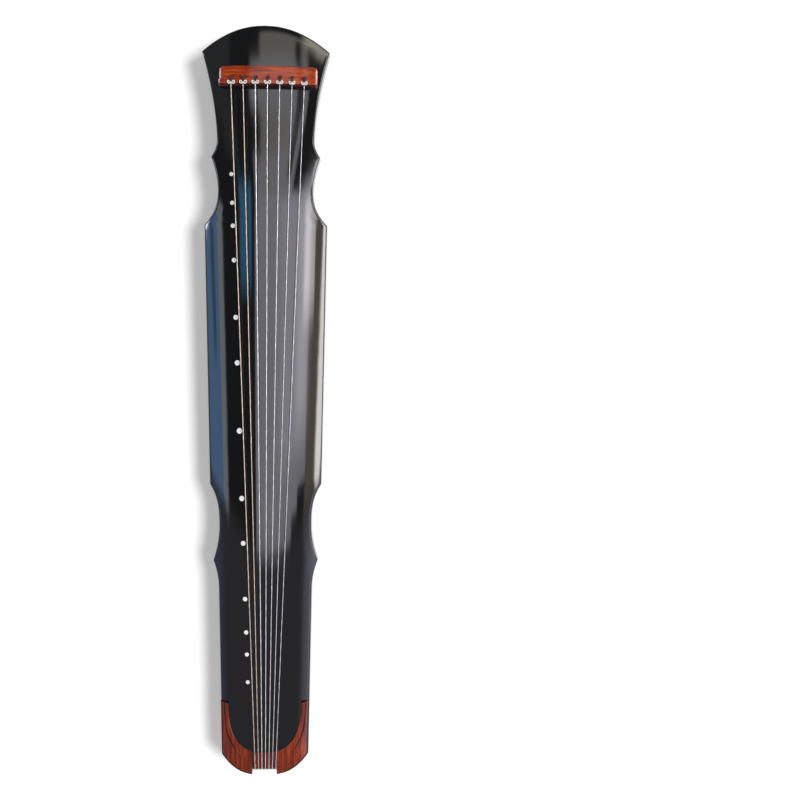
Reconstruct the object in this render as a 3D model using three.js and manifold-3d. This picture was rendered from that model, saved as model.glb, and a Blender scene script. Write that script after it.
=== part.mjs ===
// A seven-string guqin, lying face up on its two feet and two head pads, in millimetres.
// +Z is up, +X runs to the head and +Y to the side with the studs, which is the far side from the player.
// The body is an arched, hollowed top board on a flat bottom board, both lacquered black.
import * as THREE from "three";
import { mergeVertices } from "three/addons/utils/BufferGeometryUtils.js";
import Module from "manifold-3d";

const wasm = await Module();
wasm.setup();
const { lerp, clamp, smoothstep } = THREE.MathUtils;

// Fits and cuts: the gap between pieces that touch, and how far a cut runs past what it cuts
const fit_gap = 0.3;
const overrun = 5;

// Outline of the body: a run is the way along it from the feature before, and a half its half width there
const head_rise = 39;
const head_corner_x = 60;
const head_corner_half = 103;
const throat_run = 142;
const throat_half = 78.5;
const neck_cusp_run = 27;
const neck_cusp_half = 88;
const neck_run = 52;
const neck_half = 76.5;
const shoulder_run = 57;
const shoulder_half = 99.5;
const body_run = 423;
const waist_corner_half = 91.5;
const waist_run = 68;
const waist_half = 75.5;
const waist_cusp_run = 58;
const waist_cusp_half = 86;
const stern_run = 48;
const stern_half = 76.5;
const tail_run = 275;
const tail_corner_half = 71.5;
const tail_tip_run = 31;
const notch_depth = 6;

// How sharply each scoop of the side falls from its first corner and climbs to its second
const scoop_steps = 7;
const curve_steps = 7;
const head_curve_power = 2.1;
const tail_curve_power = 3.1;

// Heights: the back stands on feet and pads, the bottom board lies on it, and the face arches above
const back_z = 40;
const bottom_thickness = 10;
const seam_z = back_z + bottom_thickness;
const crest_at_head = 46;
const shoulder_rise = 6;
const tail_fall = 12;
const arch_at_head = 11.5;
const arch_at_shoulder = 20;
const arch_at_tail = 27;
const face_steps_across = 12;
const face_steps_head = 2;
const face_steps_neck = 4;
const face_steps_body = 9;

// Hollow of the body: the face, its side walls, and two thick places over the sound holes
const face_thickness = 11;
const wall_thickness = 14;
const hollow_tail_setback = 105;
const listening_length = 150;
const listening_half = 40;
const listening_drop = 16;

// Sound holes in the bottom board
const round_hole_setback = 205;
const round_hole_radius = 37;
const slot_hole_setback = 100;
const slot_hole_length = 112;
const slot_hole_radius = 14.2;
const round_hole_sides = 32;
const slot_hole_sides = 16;

// Posts that stand between the two boards
const round_post_clearance = 23;
const round_post_radius = 8;
const square_post_setback = 14;
const square_post_side = 14;

// Strings: their count, their places at the bridge, at the tail nut and under the tail, and their thickness
const string_count = 7;
const far_string_count = 4;
const bridge_pitch = 19.4;
const tail_pitch = 5.7;
const bridge_shift = -5;
const tail_shift = -2;
const under_pitch = 2.3;
const under_far_y = 4;
const under_near_y = -10;
const thick_string = 1.4;
const thin_string = 0.8;
const string_sides = 6;
const winding_turns = 2;
const winding_steps = 24;
const winding_gap = 0.42;

// Bridge and the strip in front of it that the tuning cords pass through
const bridge_depth = 11.7;
const bridge_height = 15.5;
const bridge_margin = 20.3;
const bridge_corner = 4;
const strip_depth = 22;
const strip_height = 5;
const cord_hole_offset = 4.2;
const cord_hole_radius = 2.9;
const knot_length = 5;
const knot_width = 10;
const knot_height = 3.6;

// Nuts at the tail: one on the face and one under the back, both with a rounded outer edge
const nut_height = 2;
const nut_round = 10;
const nut_length = 32;
const nut_overhang = 2;
const nut_margin = 0.4;
const lower_nut_length = 39.5;
const lower_nut_drop = 1.2;
const lower_nut_round = 3;
const inlay_depth = 6;

// Red wood crowns let into the face at the tail, and their plates under the back
const crown_run = 90;
const crown_reach = 84;
const crown_half = 60;
const crown_power = 2.6;
const crown_seat = 9;
const crown_proud = 0.8;
const plate_run = 81;
const plate_reach = 66;
const plate_half = 73;
const plate_side_border = 2;
const plate_end_border = 12;
const plate_thickness = 3;

// Tuning pegs, and the wooden plate in the bottom board that they pull up against
const peg_radius = 7.4;
const peg_bottom_z = 17;
const peg_sides = 14;
const hole_sides = 10;
const pool_depth = 8;
const pool_end_margin = 2.4;
const pool_side_margin = 4.6;
const peg_plate_thickness = 4;

// Cord over the bridge and down through each peg, and its free tail on the ground
const loop_diameter = 3.6;
const tail_diameter = 5.6;
const cord_bore_gap = 0.5;
const cord_sides = 8;
const tail_bend = 11.5;
const tail_reach = 76;
const tail_stagger = 11;
const end_knot_radius = 4;
const tail_end_shift = -4;

// Feet that hold the strings, with their tenons and sockets, and the pads under the head corners
const foot_setback = 8;
const foot_inset = 24.5;
const foot_radius = 14.8;
const foot_neck_radius = 9.6;
const foot_neck_length = 23;
const foot_bevel = 2;
const foot_sides = 20;
const tenon_radius = 7;
const tenon_end_gap = 2;
const socket_side = 28;
const socket_room = 2;
const pad_length = 17;
const pad_width = 25;
const pad_taper_share = 0.86;

// Thirteen pearl studs along the far side: their places are shares of the sounding string
const stud_shares = [
  1 / 8, 1 / 6, 1 / 5, 1 / 4, 1 / 3, 2 / 5, 1 / 2,
  3 / 5, 2 / 3, 3 / 4, 4 / 5, 5 / 6, 7 / 8,
];
const stud_small = 5.6;
const stud_large = 9.4;
const stud_depth = 2;
const stud_bridge_y = 58.6;
const stud_tail_y = 23;
const stud_sides = 12;

// Places along the body, from the bridge edge that the strings leave: the outline's, and what sits by it
const head_middle_x = head_corner_x + head_rise;
const throat_x = head_corner_x - throat_run;
const neck_cusp_x = throat_x - neck_cusp_run;
const neck_x = neck_cusp_x - neck_run;
const shoulder_x = neck_x - shoulder_run;
const waist_corner_x = shoulder_x - body_run;
const waist_x = waist_corner_x - waist_run;
const waist_cusp_x = waist_x - waist_cusp_run;
const stern_x = waist_cusp_x - stern_run;
const tail_corner_x = stern_x - tail_run;
const tail_tip_x = tail_corner_x - tail_tip_run;
const nut_end_x = tail_tip_x + notch_depth;
const end_face_x = nut_end_x + nut_overhang;
const sounding_length = -(nut_end_x + nut_round);
const hollow_tail_x = tail_corner_x + hollow_tail_setback;
const round_hole_x = shoulder_x - round_hole_setback;
const slot_hole_x = stern_x - slot_hole_setback;
const round_post_x = round_hole_x + listening_length / 2 + round_post_clearance;
const square_post_x = waist_corner_x - square_post_setback;
const crown_top_x = tail_corner_x + crown_run;
const plate_top_x = tail_corner_x + plate_run;
const foot_x = waist_cusp_x - foot_setback;

// Half widths across the body
const strings_half = (string_count - 1) / 2;
const bridge_half = bridge_pitch * strings_half + bridge_margin;
const nut_half = tail_pitch * strings_half + Math.abs(tail_shift) + nut_margin;
const pool_half = bridge_pitch * strings_half + Math.abs(bridge_shift) + peg_radius + pool_end_margin;
const pool_half_width = peg_radius + pool_side_margin;
const foot_y = stern_half - foot_inset;
const socket_half = socket_side / 2;
const widest_half = Math.max(head_corner_half, shoulder_half) + overrun;

// Materials
const lacquer = new THREE.MeshStandardMaterial({ name: "black_lacquer", color: 0x0b0b0d, roughness: 0.12 });
const rosewood = new THREE.MeshStandardMaterial({ name: "red_wood", color: 0x8c2f14, roughness: 0.28 });
const peg_wood = new THREE.MeshStandardMaterial({ name: "peg_wood", color: 0x5e140d, roughness: 0.2 });
const pine = new THREE.MeshStandardMaterial({ name: "inner_wood", color: 0xa8743f, roughness: 0.7 });
const pearl = new THREE.MeshStandardMaterial({ name: "pearl", color: 0xf2efe6, roughness: 0.2 });
const tan_string = new THREE.MeshStandardMaterial({ name: "tan_string", color: 0xb08a6a, roughness: 0.35 });
const steel = new THREE.MeshStandardMaterial({ name: "silver_string", color: 0xc9c9cc, roughness: 0.3 });
const cord_fibre = new THREE.MeshStandardMaterial({ name: "cord_fibre", color: 0x33202a, roughness: 0.9 });

// Scene graph: the pieces are built from the bridge edge, and the group moves them to the body's middle
const guqin = new THREE.Group();
guqin.name = "guqin";
guqin.position.x = -(head_middle_x + tail_tip_x) / 2;

function place(name, material, solid) {
  const sheet = solid.getMesh();
  const geometry = new THREE.BufferGeometry();
  geometry.setAttribute("position", new THREE.BufferAttribute(new Float32Array(sheet.vertProperties), 3));
  geometry.setIndex(new THREE.BufferAttribute(new Uint32Array(sheet.triVerts), 1));
  geometry.computeVertexNormals();
  const mesh = new THREE.Mesh(geometry, material);
  mesh.name = name;
  guqin.add(mesh);
}

// Solids for cutting and joining
function solid_of(geometry) {
  geometry.deleteAttribute("normal");
  geometry.deleteAttribute("uv");
  const merged = mergeVertices(geometry);
  return new wasm.Manifold(new wasm.Mesh({
    numProp: 3,
    vertProperties: merged.attributes.position.array,
    triVerts: new Uint32Array(merged.index.array),
  }));
}

function prism(points, low, high) {
  const options = { depth: high - low, bevelEnabled: false };
  const geometry = new THREE.ExtrudeGeometry(new THREE.Shape(points), options);
  geometry.translate(0, 0, low);
  return solid_of(geometry);
}

function block(x_low, x_high, y_low, y_high, z_low, z_high) {
  const geometry = new THREE.BoxGeometry(x_high - x_low, y_high - y_low, z_high - z_low);
  geometry.translate((x_low + x_high) / 2, (y_low + y_high) / 2, (z_low + z_high) / 2);
  return solid_of(geometry);
}

function round_bar(x, y, radius, z_low, z_high, sides) {
  const geometry = new THREE.CylinderGeometry(radius, radius, z_high - z_low, sides);
  geometry.rotateX(Math.PI / 2);
  geometry.translate(x, y, (z_low + z_high) / 2);
  return solid_of(geometry);
}

function turned(x, y, profile, sides) {
  const geometry = new THREE.LatheGeometry(profile.map(([r, z]) => new THREE.Vector2(r, z)), sides);
  geometry.rotateX(Math.PI / 2);
  geometry.translate(x, y, 0);
  return solid_of(geometry);
}

// A route is a curve whose steps fall on its own points, so straight runs take few and turns take many
class Route extends THREE.Curve {
  constructor(points) {
    super();
    this.points = points;
  }

  index(share) {
    return Math.round(share * (this.points.length - 1));
  }

  getPointAt(share, target = new THREE.Vector3()) {
    return target.copy(this.points[this.index(share)]);
  }

  getTangentAt(share, target = new THREE.Vector3()) {
    const here = this.index(share);
    const last = this.points.length - 1;
    target.set(0, 0, 0);
    if (here > 0) {
      target.add(this.points[here].clone().sub(this.points[here - 1]).normalize());
    }
    if (here < last) {
      target.add(this.points[here + 1].clone().sub(this.points[here]).normalize());
    }
    return target.normalize();
  }
}

function tube(points, diameter, sides) {
  const ring = [];
  for (let side = 0; side < sides; side += 1) {
    const turn = (2 * Math.PI * side) / sides;
    ring.push(new THREE.Vector2((diameter / 2) * Math.cos(turn), (diameter / 2) * Math.sin(turn)));
  }
  const options = { steps: points.length - 1, bevelEnabled: false, extrudePath: new Route(points) };
  return solid_of(new THREE.ExtrudeGeometry(new THREE.Shape(ring), options));
}

// Points of a quarter turn in the upright plane along the body
function turn_points(x_middle, z_middle, radius, turn_from, turn_to) {
  const points = [];
  for (let step = 0; step <= 4; step += 1) {
    const turn = lerp(turn_from, turn_to, step / 4);
    points.push([x_middle + radius * Math.cos(turn), z_middle + radius * Math.sin(turn)]);
  }
  return points;
}

// Outline of the body, from the head's middle down the far side to the notch under the strings
function scoop(from, dip, to, fall_power, climb_power) {
  const points = [];
  for (let step = 0; step < scoop_steps; step += 1) {
    const share = step / scoop_steps;
    const half = dip[1] + (from[1] - dip[1]) * (1 - share) ** fall_power;
    points.push([lerp(from[0], dip[0], share), half]);
  }
  for (let step = 0; step < scoop_steps; step += 1) {
    const share = step / scoop_steps;
    points.push([lerp(dip[0], to[0], share), dip[1] + (to[1] - dip[1]) * share ** climb_power]);
  }
  return points;
}

const head_corner = [head_corner_x, head_corner_half];
const throat = [throat_x, throat_half];
const neck_cusp = [neck_cusp_x, neck_cusp_half];
const neck = [neck_x, neck_half];
const shoulder = [shoulder_x, shoulder_half];
const waist_corner = [waist_corner_x, waist_corner_half];
const waist = [waist_x, waist_half];
const waist_cusp = [waist_cusp_x, waist_cusp_half];
const stern = [stern_x, stern_half];
const tail_corner = [tail_corner_x, tail_corner_half];

const side_line = [
  ...scoop(head_corner, throat, neck_cusp, 1.7, 2),
  ...scoop(neck_cusp, neck, shoulder, 1.6, 2.5),
  shoulder,
  ...scoop(waist_corner, waist, waist_cusp, 2.8, 2),
  ...scoop(waist_cusp, stern, tail_corner, 2, 1),
  tail_corner,
];

function outline() {
  const far = [];
  for (let step = 0; step < curve_steps; step += 1) {
    const share = step / curve_steps;
    const x = lerp(head_middle_x, head_corner_x, share ** head_curve_power);
    far.push([x, head_corner_half * share]);
  }
  far.push(...side_line);
  const tip_share = (nut_half + fit_gap) / tail_corner_half;
  for (let step = 1; step <= curve_steps; step += 1) {
    const share = lerp(1, tip_share, step / curve_steps);
    const fall = (1 - share ** tail_curve_power) / (1 - tip_share ** tail_curve_power);
    far.push([lerp(tail_corner_x, tail_tip_x, fall), tail_corner_half * share]);
  }
  far.push([end_face_x, nut_half + fit_gap]);
  const near = far.slice(1).reverse().map(([x, half]) => [x, -half]);
  return [...far, ...near].map(([x, y]) => new THREE.Vector2(x, y));
}

// Arch of the face: its height above the back, and how far it falls from the middle to the sides
const crest_at_shoulder = crest_at_head + shoulder_rise;
const crest_at_tail = crest_at_shoulder - tail_fall;

function along_body(x, at_head, at_shoulder, at_tail) {
  if (x > shoulder_x) {
    return lerp(at_head, at_shoulder, smoothstep(-x, 0, -shoulder_x));
  }
  return lerp(at_shoulder, at_tail, clamp((x - shoulder_x) / (nut_end_x - shoulder_x), 0, 1));
}

function face_at(x, y) {
  const crest = back_z + along_body(x, crest_at_head, crest_at_shoulder, crest_at_tail);
  return crest - along_body(x, arch_at_head, arch_at_shoulder, arch_at_tail) * (y / shoulder_half) ** 2;
}

function span(from, to, steps) {
  return Array.from({ length: steps }, (_, step) => lerp(from, to, step / steps));
}

const face_stations = [
  ...span(tail_tip_x - overrun, shoulder_x, face_steps_body),
  ...span(shoulder_x, 0, face_steps_neck),
  ...span(0, head_middle_x + overrun, face_steps_head),
  head_middle_x + overrun,
];

function arched_block(z_low, lift) {
  const steps = face_stations.length - 1;
  const geometry = new THREE.BoxGeometry(1, 1, 1, steps, face_steps_across, 1);
  const places = geometry.attributes.position;
  for (let index = 0; index < places.count; index += 1) {
    const x = face_stations[Math.round((places.getX(index) + 1 / 2) * steps)];
    const y = places.getY(index) * 2 * widest_half;
    const z = places.getZ(index) > 0 ? face_at(x, y) + lift : z_low;
    places.setXYZ(index, x, y, z);
  }
  return solid_of(geometry);
}

// Places of the strings and of the cord holes
function string_share(number) {
  return (number - 1) / (string_count - 1);
}

function bridge_y(number) {
  return bridge_shift + bridge_pitch * (strings_half + 1 - number);
}

function nut_y(number) {
  return tail_shift + tail_pitch * (strings_half + 1 - number);
}

function under_y(number) {
  return number <= far_string_count
    ? under_far_y + under_pitch * (far_string_count - number)
    : under_near_y - under_pitch * (number - far_string_count - 1);
}

function string_diameter(number) {
  return lerp(thick_string, thin_string, string_share(number));
}

const numbers = Array.from({ length: string_count }, (_, index) => index + 1);
const cord_hole_x = bridge_depth + cord_hole_offset;
const lower_nut_z = back_z - lower_nut_drop;
const nut_top_z = back_z + crest_at_tail + nut_height;

function bridge_top_z(y) {
  return face_at(0, y) + bridge_height;
}

function cord_holes(z_low, z_high) {
  const holes = numbers.map((number) => (
    round_bar(cord_hole_x, bridge_y(number), cord_hole_radius, z_low, z_high, hole_sides)
  ));
  return wasm.Manifold.union(holes);
}

// Inner edge of the tail crowns: a deep U that the strings run over
function crown_edge(grow) {
  const points = [];
  const steps = 2 * curve_steps;
  for (let step = 0; step <= 2 * steps; step += 1) {
    const turn = (Math.PI * step) / (2 * steps);
    const across = Math.sign(Math.cos(turn)) * Math.abs(Math.cos(turn)) ** (2 / crown_power);
    const along = Math.sin(turn) ** (2 / crown_power);
    points.push(new THREE.Vector2(crown_top_x - (crown_reach + grow) * along, (crown_half + grow) * across));
  }
  return [
    new THREE.Vector2(crown_top_x + overrun, crown_half + grow),
    ...points,
    new THREE.Vector2(crown_top_x + overrun, -crown_half - grow),
  ];
}

// Inner edge of the plates under the tail: a soft S from each side to a flat middle
const plate_edge_shares = [
  [0, 1], [0.1, 0.9], [0.36, 0.755], [0.67, 0.665], [0.88, 0.52], [0.98, 0.34], [1, 0.2],
];

function plate_edge(grow) {
  const far = plate_edge_shares.map(([along, across]) => new THREE.Vector2(
    plate_top_x - (plate_reach + grow) * along,
    (plate_half + grow) * across,
  ));
  const near = far.map(({ x, y }) => new THREE.Vector2(x, -y)).reverse();
  const curve = new THREE.SplineCurve([...far, ...near]).getPoints(3 * plate_edge_shares.length);
  return [
    new THREE.Vector2(plate_top_x + overrun, plate_half + grow),
    ...curve,
    new THREE.Vector2(plate_top_x + overrun, -plate_half - grow),
  ];
}

// Studs: each is let into the face, square to the arch under it
function stud_y(share) {
  return lerp(stud_bridge_y, stud_tail_y, share);
}

function stud_solid(share, grow, depth, proud) {
  const middle_out = 1 - 2 * Math.abs(share - 1 / 2);
  const radius = lerp(stud_small, stud_large, middle_out) / 2 + grow;
  const x = -sounding_length * share;
  const y = stud_y(share);
  const slope = Math.atan2(face_at(x, y + stud_small) - face_at(x, y - stud_small), 2 * stud_small);
  const geometry = new THREE.CylinderGeometry(radius, radius, depth + proud, stud_sides);
  geometry.rotateX(Math.PI / 2);
  geometry.translate(0, 0, (proud - depth) / 2);
  geometry.rotateX(slope);
  geometry.translate(x, y, face_at(x, y));
  return solid_of(geometry);
}

// Hollow of the body, with room for the foot sockets, and the thick places over the sound holes left standing
function listening_island(x) {
  const shape = new THREE.Shape();
  shape.absellipse(x, 0, listening_length / 2, listening_half, 0, 2 * Math.PI);
  return prism(shape.getPoints(2 * curve_steps), seam_z + listening_drop, seam_z + shoulder_half);
}

function hollow() {
  const far = [
    [neck_cusp_x - wall_thickness, neck_half - wall_thickness],
    [shoulder_x, neck_half - wall_thickness],
    [shoulder_x - wall_thickness, shoulder_half - wall_thickness],
    [waist_corner_x + wall_thickness, waist_corner_half - wall_thickness],
    [waist_x, waist_half - wall_thickness],
    [stern_x, stern_half - wall_thickness],
    [hollow_tail_x, tail_corner_half - wall_thickness],
  ];
  const near = far.map(([x, half]) => [x, -half]).reverse();
  const outline_points = [...far, ...near].map(([x, y]) => new THREE.Vector2(x, y));
  let room = prism(outline_points, seam_z - overrun, seam_z + shoulder_half);
  const pocket_half = socket_half + socket_room;
  for (const y of [foot_y, -foot_y]) {
    const ends = [foot_x - pocket_half, foot_x + pocket_half, y - pocket_half, y + pocket_half];
    room = room.add(block(...ends, seam_z - overrun, seam_z + shoulder_half));
  }
  return room
    .intersect(arched_block(seam_z - overrun - fit_gap, -face_thickness))
    .subtract(listening_island(round_hole_x))
    .subtract(listening_island(slot_hole_x));
}

// Top board: arched face, hollow below, cord holes in the head, beds for the studs and the tail's red wood
const body_outline = outline();
const above_all = seam_z + shoulder_half;
const crown_floor_z = seam_z + crown_seat;

function tail_bed() {
  return block(tail_tip_x - overrun, crown_top_x, -shoulder_half, shoulder_half, crown_floor_z, above_all)
    .subtract(prism(crown_edge(0), seam_z, above_all + overrun));
}

function top_board() {
  let board = prism(body_outline, seam_z, above_all).intersect(arched_block(seam_z - overrun, 0));
  board = board.subtract(hollow());
  board = board.subtract(tail_bed());
  board = board.subtract(cord_holes(seam_z - overrun, above_all));
  for (const share of stud_shares) {
    board = board.subtract(stud_solid(share, fit_gap / 2, stud_depth + fit_gap / 2, overrun));
  }
  return board;
}

// Bottom board: flat, with two sound holes, the peg pool, foot holes and beds for the tail plates
function slot_hole(z_low, z_high) {
  const reach = slot_hole_length / 2 - slot_hole_radius;
  return round_bar(slot_hole_x - reach, 0, slot_hole_radius, z_low, z_high, slot_hole_sides)
    .add(round_bar(slot_hole_x + reach, 0, slot_hole_radius, z_low, z_high, slot_hole_sides))
    .hull();
}

function pool_block(grow, z_low, z_high) {
  const low_x = cord_hole_x - pool_half_width - grow;
  const high_x = cord_hole_x + pool_half_width + grow;
  return block(low_x, high_x, -pool_half - grow, pool_half + grow, z_low, z_high);
}

function back_inlay(grow, y_low, y_high, z_low, z_high) {
  const side_limit = tail_corner_half - plate_side_border + grow;
  return prism(body_outline, z_low, z_high)
    .translate([plate_end_border - grow, 0, 0])
    .intersect(block(tail_tip_x, plate_top_x, -side_limit, side_limit, z_low, z_high))
    .intersect(block(tail_tip_x, plate_top_x, y_low, y_high, z_low, z_high))
    .subtract(prism(plate_edge(-grow), z_low - overrun, z_high + overrun));
}

function bottom_board() {
  let board = prism(body_outline, back_z, seam_z - fit_gap);
  const below = back_z - overrun;
  const above = seam_z + overrun;
  board = board.subtract(round_bar(round_hole_x, 0, round_hole_radius, below, above, round_hole_sides));
  board = board.subtract(slot_hole(below, above));
  for (const y of [foot_y, -foot_y]) {
    board = board.subtract(round_bar(foot_x, y, tenon_radius + fit_gap, below, above, foot_sides));
  }
  board = board.subtract(pool_block(fit_gap, below, back_z + pool_depth));
  board = board.subtract(cord_holes(below, above));
  const plate_bed_z = back_z + plate_thickness + fit_gap;
  board = board.subtract(back_inlay(fit_gap, -shoulder_half, shoulder_half, below, plate_bed_z));
  const nut_bed_half = nut_half + fit_gap;
  const nut_bed_x = nut_end_x + lower_nut_length + fit_gap;
  const nut_bed_z = back_z + inlay_depth;
  return board.subtract(block(tail_tip_x, nut_bed_x, -nut_bed_half, nut_bed_half, below, nut_bed_z));
}

// Bridge and cord strip: both follow the arch of the face across the head
function cross_strip(x_low, depth, height) {
  const top = [];
  const bottom = [];
  for (let step = 0; step <= face_steps_across; step += 1) {
    const y = lerp(-bridge_half, bridge_half, step / face_steps_across) + bridge_shift;
    const edge = Math.min(step, face_steps_across - step) === 0 ? Math.min(bridge_corner, height / 2) : 0;
    top.push(new THREE.Vector2(y, face_at(0, y) + height - edge));
    bottom.unshift(new THREE.Vector2(y, face_at(0, y) + fit_gap));
  }
  const profile = new THREE.Shape([...bottom, ...top]);
  const geometry = new THREE.ExtrudeGeometry(profile, { depth, bevelEnabled: false });
  geometry.rotateX(Math.PI / 2);
  geometry.rotateZ(Math.PI / 2);
  geometry.translate(x_low, 0, 0);
  return solid_of(geometry);
}

// Nuts: profiles along the body, rounded where the strings turn down and under
function nut_profile(length, z_edge, z_far, round) {
  const outward = Math.sign(z_edge - z_far);
  const points = [[nut_end_x + length, z_far], [nut_end_x + length, z_edge]];
  for (let step = 0; step <= curve_steps; step += 1) {
    const turn = (Math.PI / 2) * (step / curve_steps);
    points.push([nut_end_x + round * (1 - Math.sin(turn)), z_edge - outward * round * (1 - Math.cos(turn))]);
  }
  points.push([nut_end_x, z_far]);
  return points.map(([x, z]) => new THREE.Vector2(x, z));
}

function nut_solid(points) {
  const options = { depth: 2 * nut_half, bevelEnabled: false };
  const geometry = new THREE.ExtrudeGeometry(new THREE.Shape(points), options);
  geometry.rotateX(Math.PI / 2);
  geometry.translate(0, nut_half, 0);
  return solid_of(geometry);
}

function tail_nut() {
  return nut_solid(nut_profile(nut_length, nut_top_z, crown_floor_z + fit_gap, nut_round))
    .subtract(prism(crown_edge(fit_gap), seam_z, above_all));
}

function lower_nut() {
  const bed_z = back_z + inlay_depth - fit_gap;
  return nut_solid(nut_profile(lower_nut_length, lower_nut_z, bed_z, lower_nut_round));
}

function tail_crown(side) {
  const inner = nut_half + 2 * fit_gap;
  const y_low = side > 0 ? inner : -shoulder_half;
  const y_high = side > 0 ? shoulder_half : -inner;
  return prism(body_outline, seam_z, above_all)
    .intersect(arched_block(crown_floor_z + fit_gap, crown_proud))
    .intersect(block(tail_tip_x - overrun, crown_top_x - fit_gap, y_low, y_high, seam_z, above_all))
    .subtract(prism(crown_edge(fit_gap), seam_z, above_all));
}

function tail_plate(side) {
  const inner = nut_half + 2 * fit_gap;
  const y_low = side > 0 ? inner : -shoulder_half;
  const y_high = side > 0 ? shoulder_half : -inner;
  return back_inlay(0, y_low, y_high, back_z, back_z + plate_thickness);
}

// Peg plate and pegs: a peg is a bored, turned bobbin that the cord holds against the plate
const peg_top_z = back_z + pool_depth - peg_plate_thickness - 2 * fit_gap;
const peg_shares = [[0.78, 0], [0.94, 0.08], [1, 0.35], [0.88, 0.7], [0.8, 0.82], [0.97, 0.9], [0.97, 1]];

function peg_plate() {
  const high_z = back_z + pool_depth - fit_gap;
  return pool_block(0, high_z - peg_plate_thickness, high_z).subtract(cord_holes(0, above_all));
}

function peg(number) {
  const height = peg_top_z - peg_bottom_z;
  const bore = loop_diameter / 2 + cord_bore_gap;
  const outside = peg_shares.map(([out, up]) => [peg_radius * out, height * up]);
  const profile = [[bore, 0], ...outside, [bore, height], [bore, 0]];
  const placed = profile.map(([radius, up]) => [radius, peg_bottom_z + up]);
  return turned(cord_hole_x, bridge_y(number), placed, peg_sides);
}

// Tuning cords: over the bridge, down through its hole and the peg, then a free tail on the ground
function tuning_loop(number) {
  const y = bridge_y(number);
  const radius = loop_diameter / 2;
  const corner_z = bridge_top_z(y);
  const lift = radius + 2 * fit_gap;
  const points = [
    [knot_length + 3 * fit_gap, corner_z + lift],
    ...turn_points(bridge_depth, corner_z, lift, Math.PI / 2, 0),
    [cord_hole_x, corner_z - 2 * loop_diameter],
    [cord_hole_x, corner_z - 3 * loop_diameter],
    [cord_hole_x, peg_bottom_z + fit_gap],
  ].map(([x, z]) => new THREE.Vector3(x, y, z));
  return tube(points, loop_diameter, cord_sides);
}

// Route of each free tail: from under its peg to the ground and in towards the head's middle,
// every second one shorter, so that its end knot lies beside its neighbours' cords
const tail_steps = 7;

function tail_end_y(number) {
  return tail_end_shift + (end_knot_radius + tail_diameter / 2 + fit_gap) * (strings_half + 1 - number);
}

function cord_tail_route(number) {
  const y = bridge_y(number);
  const lie_z = tail_diameter / 2 + fit_gap;
  const points = [[0, 0, peg_bottom_z - fit_gap]];
  const bend = turn_points(tail_bend, lie_z + tail_bend, tail_bend, Math.PI, (3 / 2) * Math.PI);
  bend.forEach(([x, z]) => points.push([x, 0, z]));
  const short_reach = tail_reach - tail_stagger;
  const reach = number % 2 === 0 ? short_reach : tail_reach;
  for (let step = 1; step <= tail_steps; step += 1) {
    const along = lerp(tail_bend, reach, step / tail_steps);
    points.push([along, smoothstep(along, tail_bend, short_reach), lie_z]);
  }
  const end_y = tail_end_y(number);
  return points.map(([x, across, z]) => new THREE.Vector3(cord_hole_x + x, lerp(y, end_y, across), z));
}

function cord_tail(number) {
  const route = cord_tail_route(number);
  const end = route[route.length - 1];
  const knot = new THREE.SphereGeometry(end_knot_radius, 8, 6);
  knot.translate(end.x, end.y, end_knot_radius + fit_gap);
  return tube(route, tail_diameter, cord_sides).add(solid_of(knot));
}

// Feet: the tenon is held in a socket block, and the strings wind on the neck
const foot_flare_shares = [[1, 0], [1, 0.25], [0.6, 0.57], [0.15, 0.83], [0, 1]];

function under_face(x, y) {
  return face_at(x, y) - face_thickness - fit_gap;
}

const socket_top_z = under_face(foot_x - socket_half, foot_y + socket_half);

function goose_foot(side) {
  const neck_top_z = back_z - fit_gap;
  const tenon_top_z = socket_top_z - tenon_end_gap;
  const flare = foot_flare_shares.map(([out, up]) => [
    lerp(foot_neck_radius, foot_radius, out),
    lerp(foot_bevel, back_z - foot_neck_length, up),
  ]);
  const profile = [
    [0, 0],
    [foot_radius - foot_bevel, 0],
    ...flare,
    [foot_neck_radius, neck_top_z],
    [tenon_radius, neck_top_z],
    [tenon_radius, tenon_top_z],
    [0, tenon_top_z],
  ];
  return turned(foot_x, side * foot_y, profile, foot_sides);
}

function foot_socket(side) {
  const y = side * foot_y;
  const ends = [foot_x - socket_half, foot_x + socket_half, y - socket_half, y + socket_half];
  return block(...ends, seam_z, socket_top_z)
    .subtract(round_bar(foot_x, y, tenon_radius + fit_gap, 0, above_all, foot_sides));
}

// Head pads: tapered blocks that end flush with the corners of the head
function head_pad(side) {
  const y_low = side > 0 ? head_corner_half - pad_width : -head_corner_half;
  const low_x = head_corner_x - pad_length;
  const geometry = new THREE.BoxGeometry(2 * pad_length, pad_width, back_z - fit_gap);
  geometry.translate(low_x + pad_length, y_low + pad_width / 2, (back_z - fit_gap) / 2);
  const places = geometry.attributes.position;
  for (let index = 0; index < places.count; index += 1) {
    if (places.getZ(index) < back_z / 2) {
      places.setX(index, lerp(low_x + pad_length / 2, places.getX(index), pad_taper_share));
      places.setY(index, lerp(y_low + pad_width / 2, places.getY(index), pad_taper_share));
    }
  }
  return solid_of(geometry).intersect(prism(body_outline, 0, back_z));
}

// Posts in the hollow, cut to the underside of the face
function sound_post(shaft) {
  return shaft.intersect(arched_block(0, -face_thickness - fit_gap));
}

// Strings: from a knot on the bridge, over the face and the tail nut, under the tail and round a foot
function winding_top(number) {
  const first = number <= far_string_count ? 1 : far_string_count + 1;
  let z = back_z - 2 * fit_gap - string_diameter(first) / 2;
  for (let above = first; above < number; above += 1) {
    z -= winding_turns * (string_diameter(above) + winding_gap);
    z -= (string_diameter(above) + string_diameter(above + 1)) / 2 + winding_gap;
  }
  return z;
}

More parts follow.
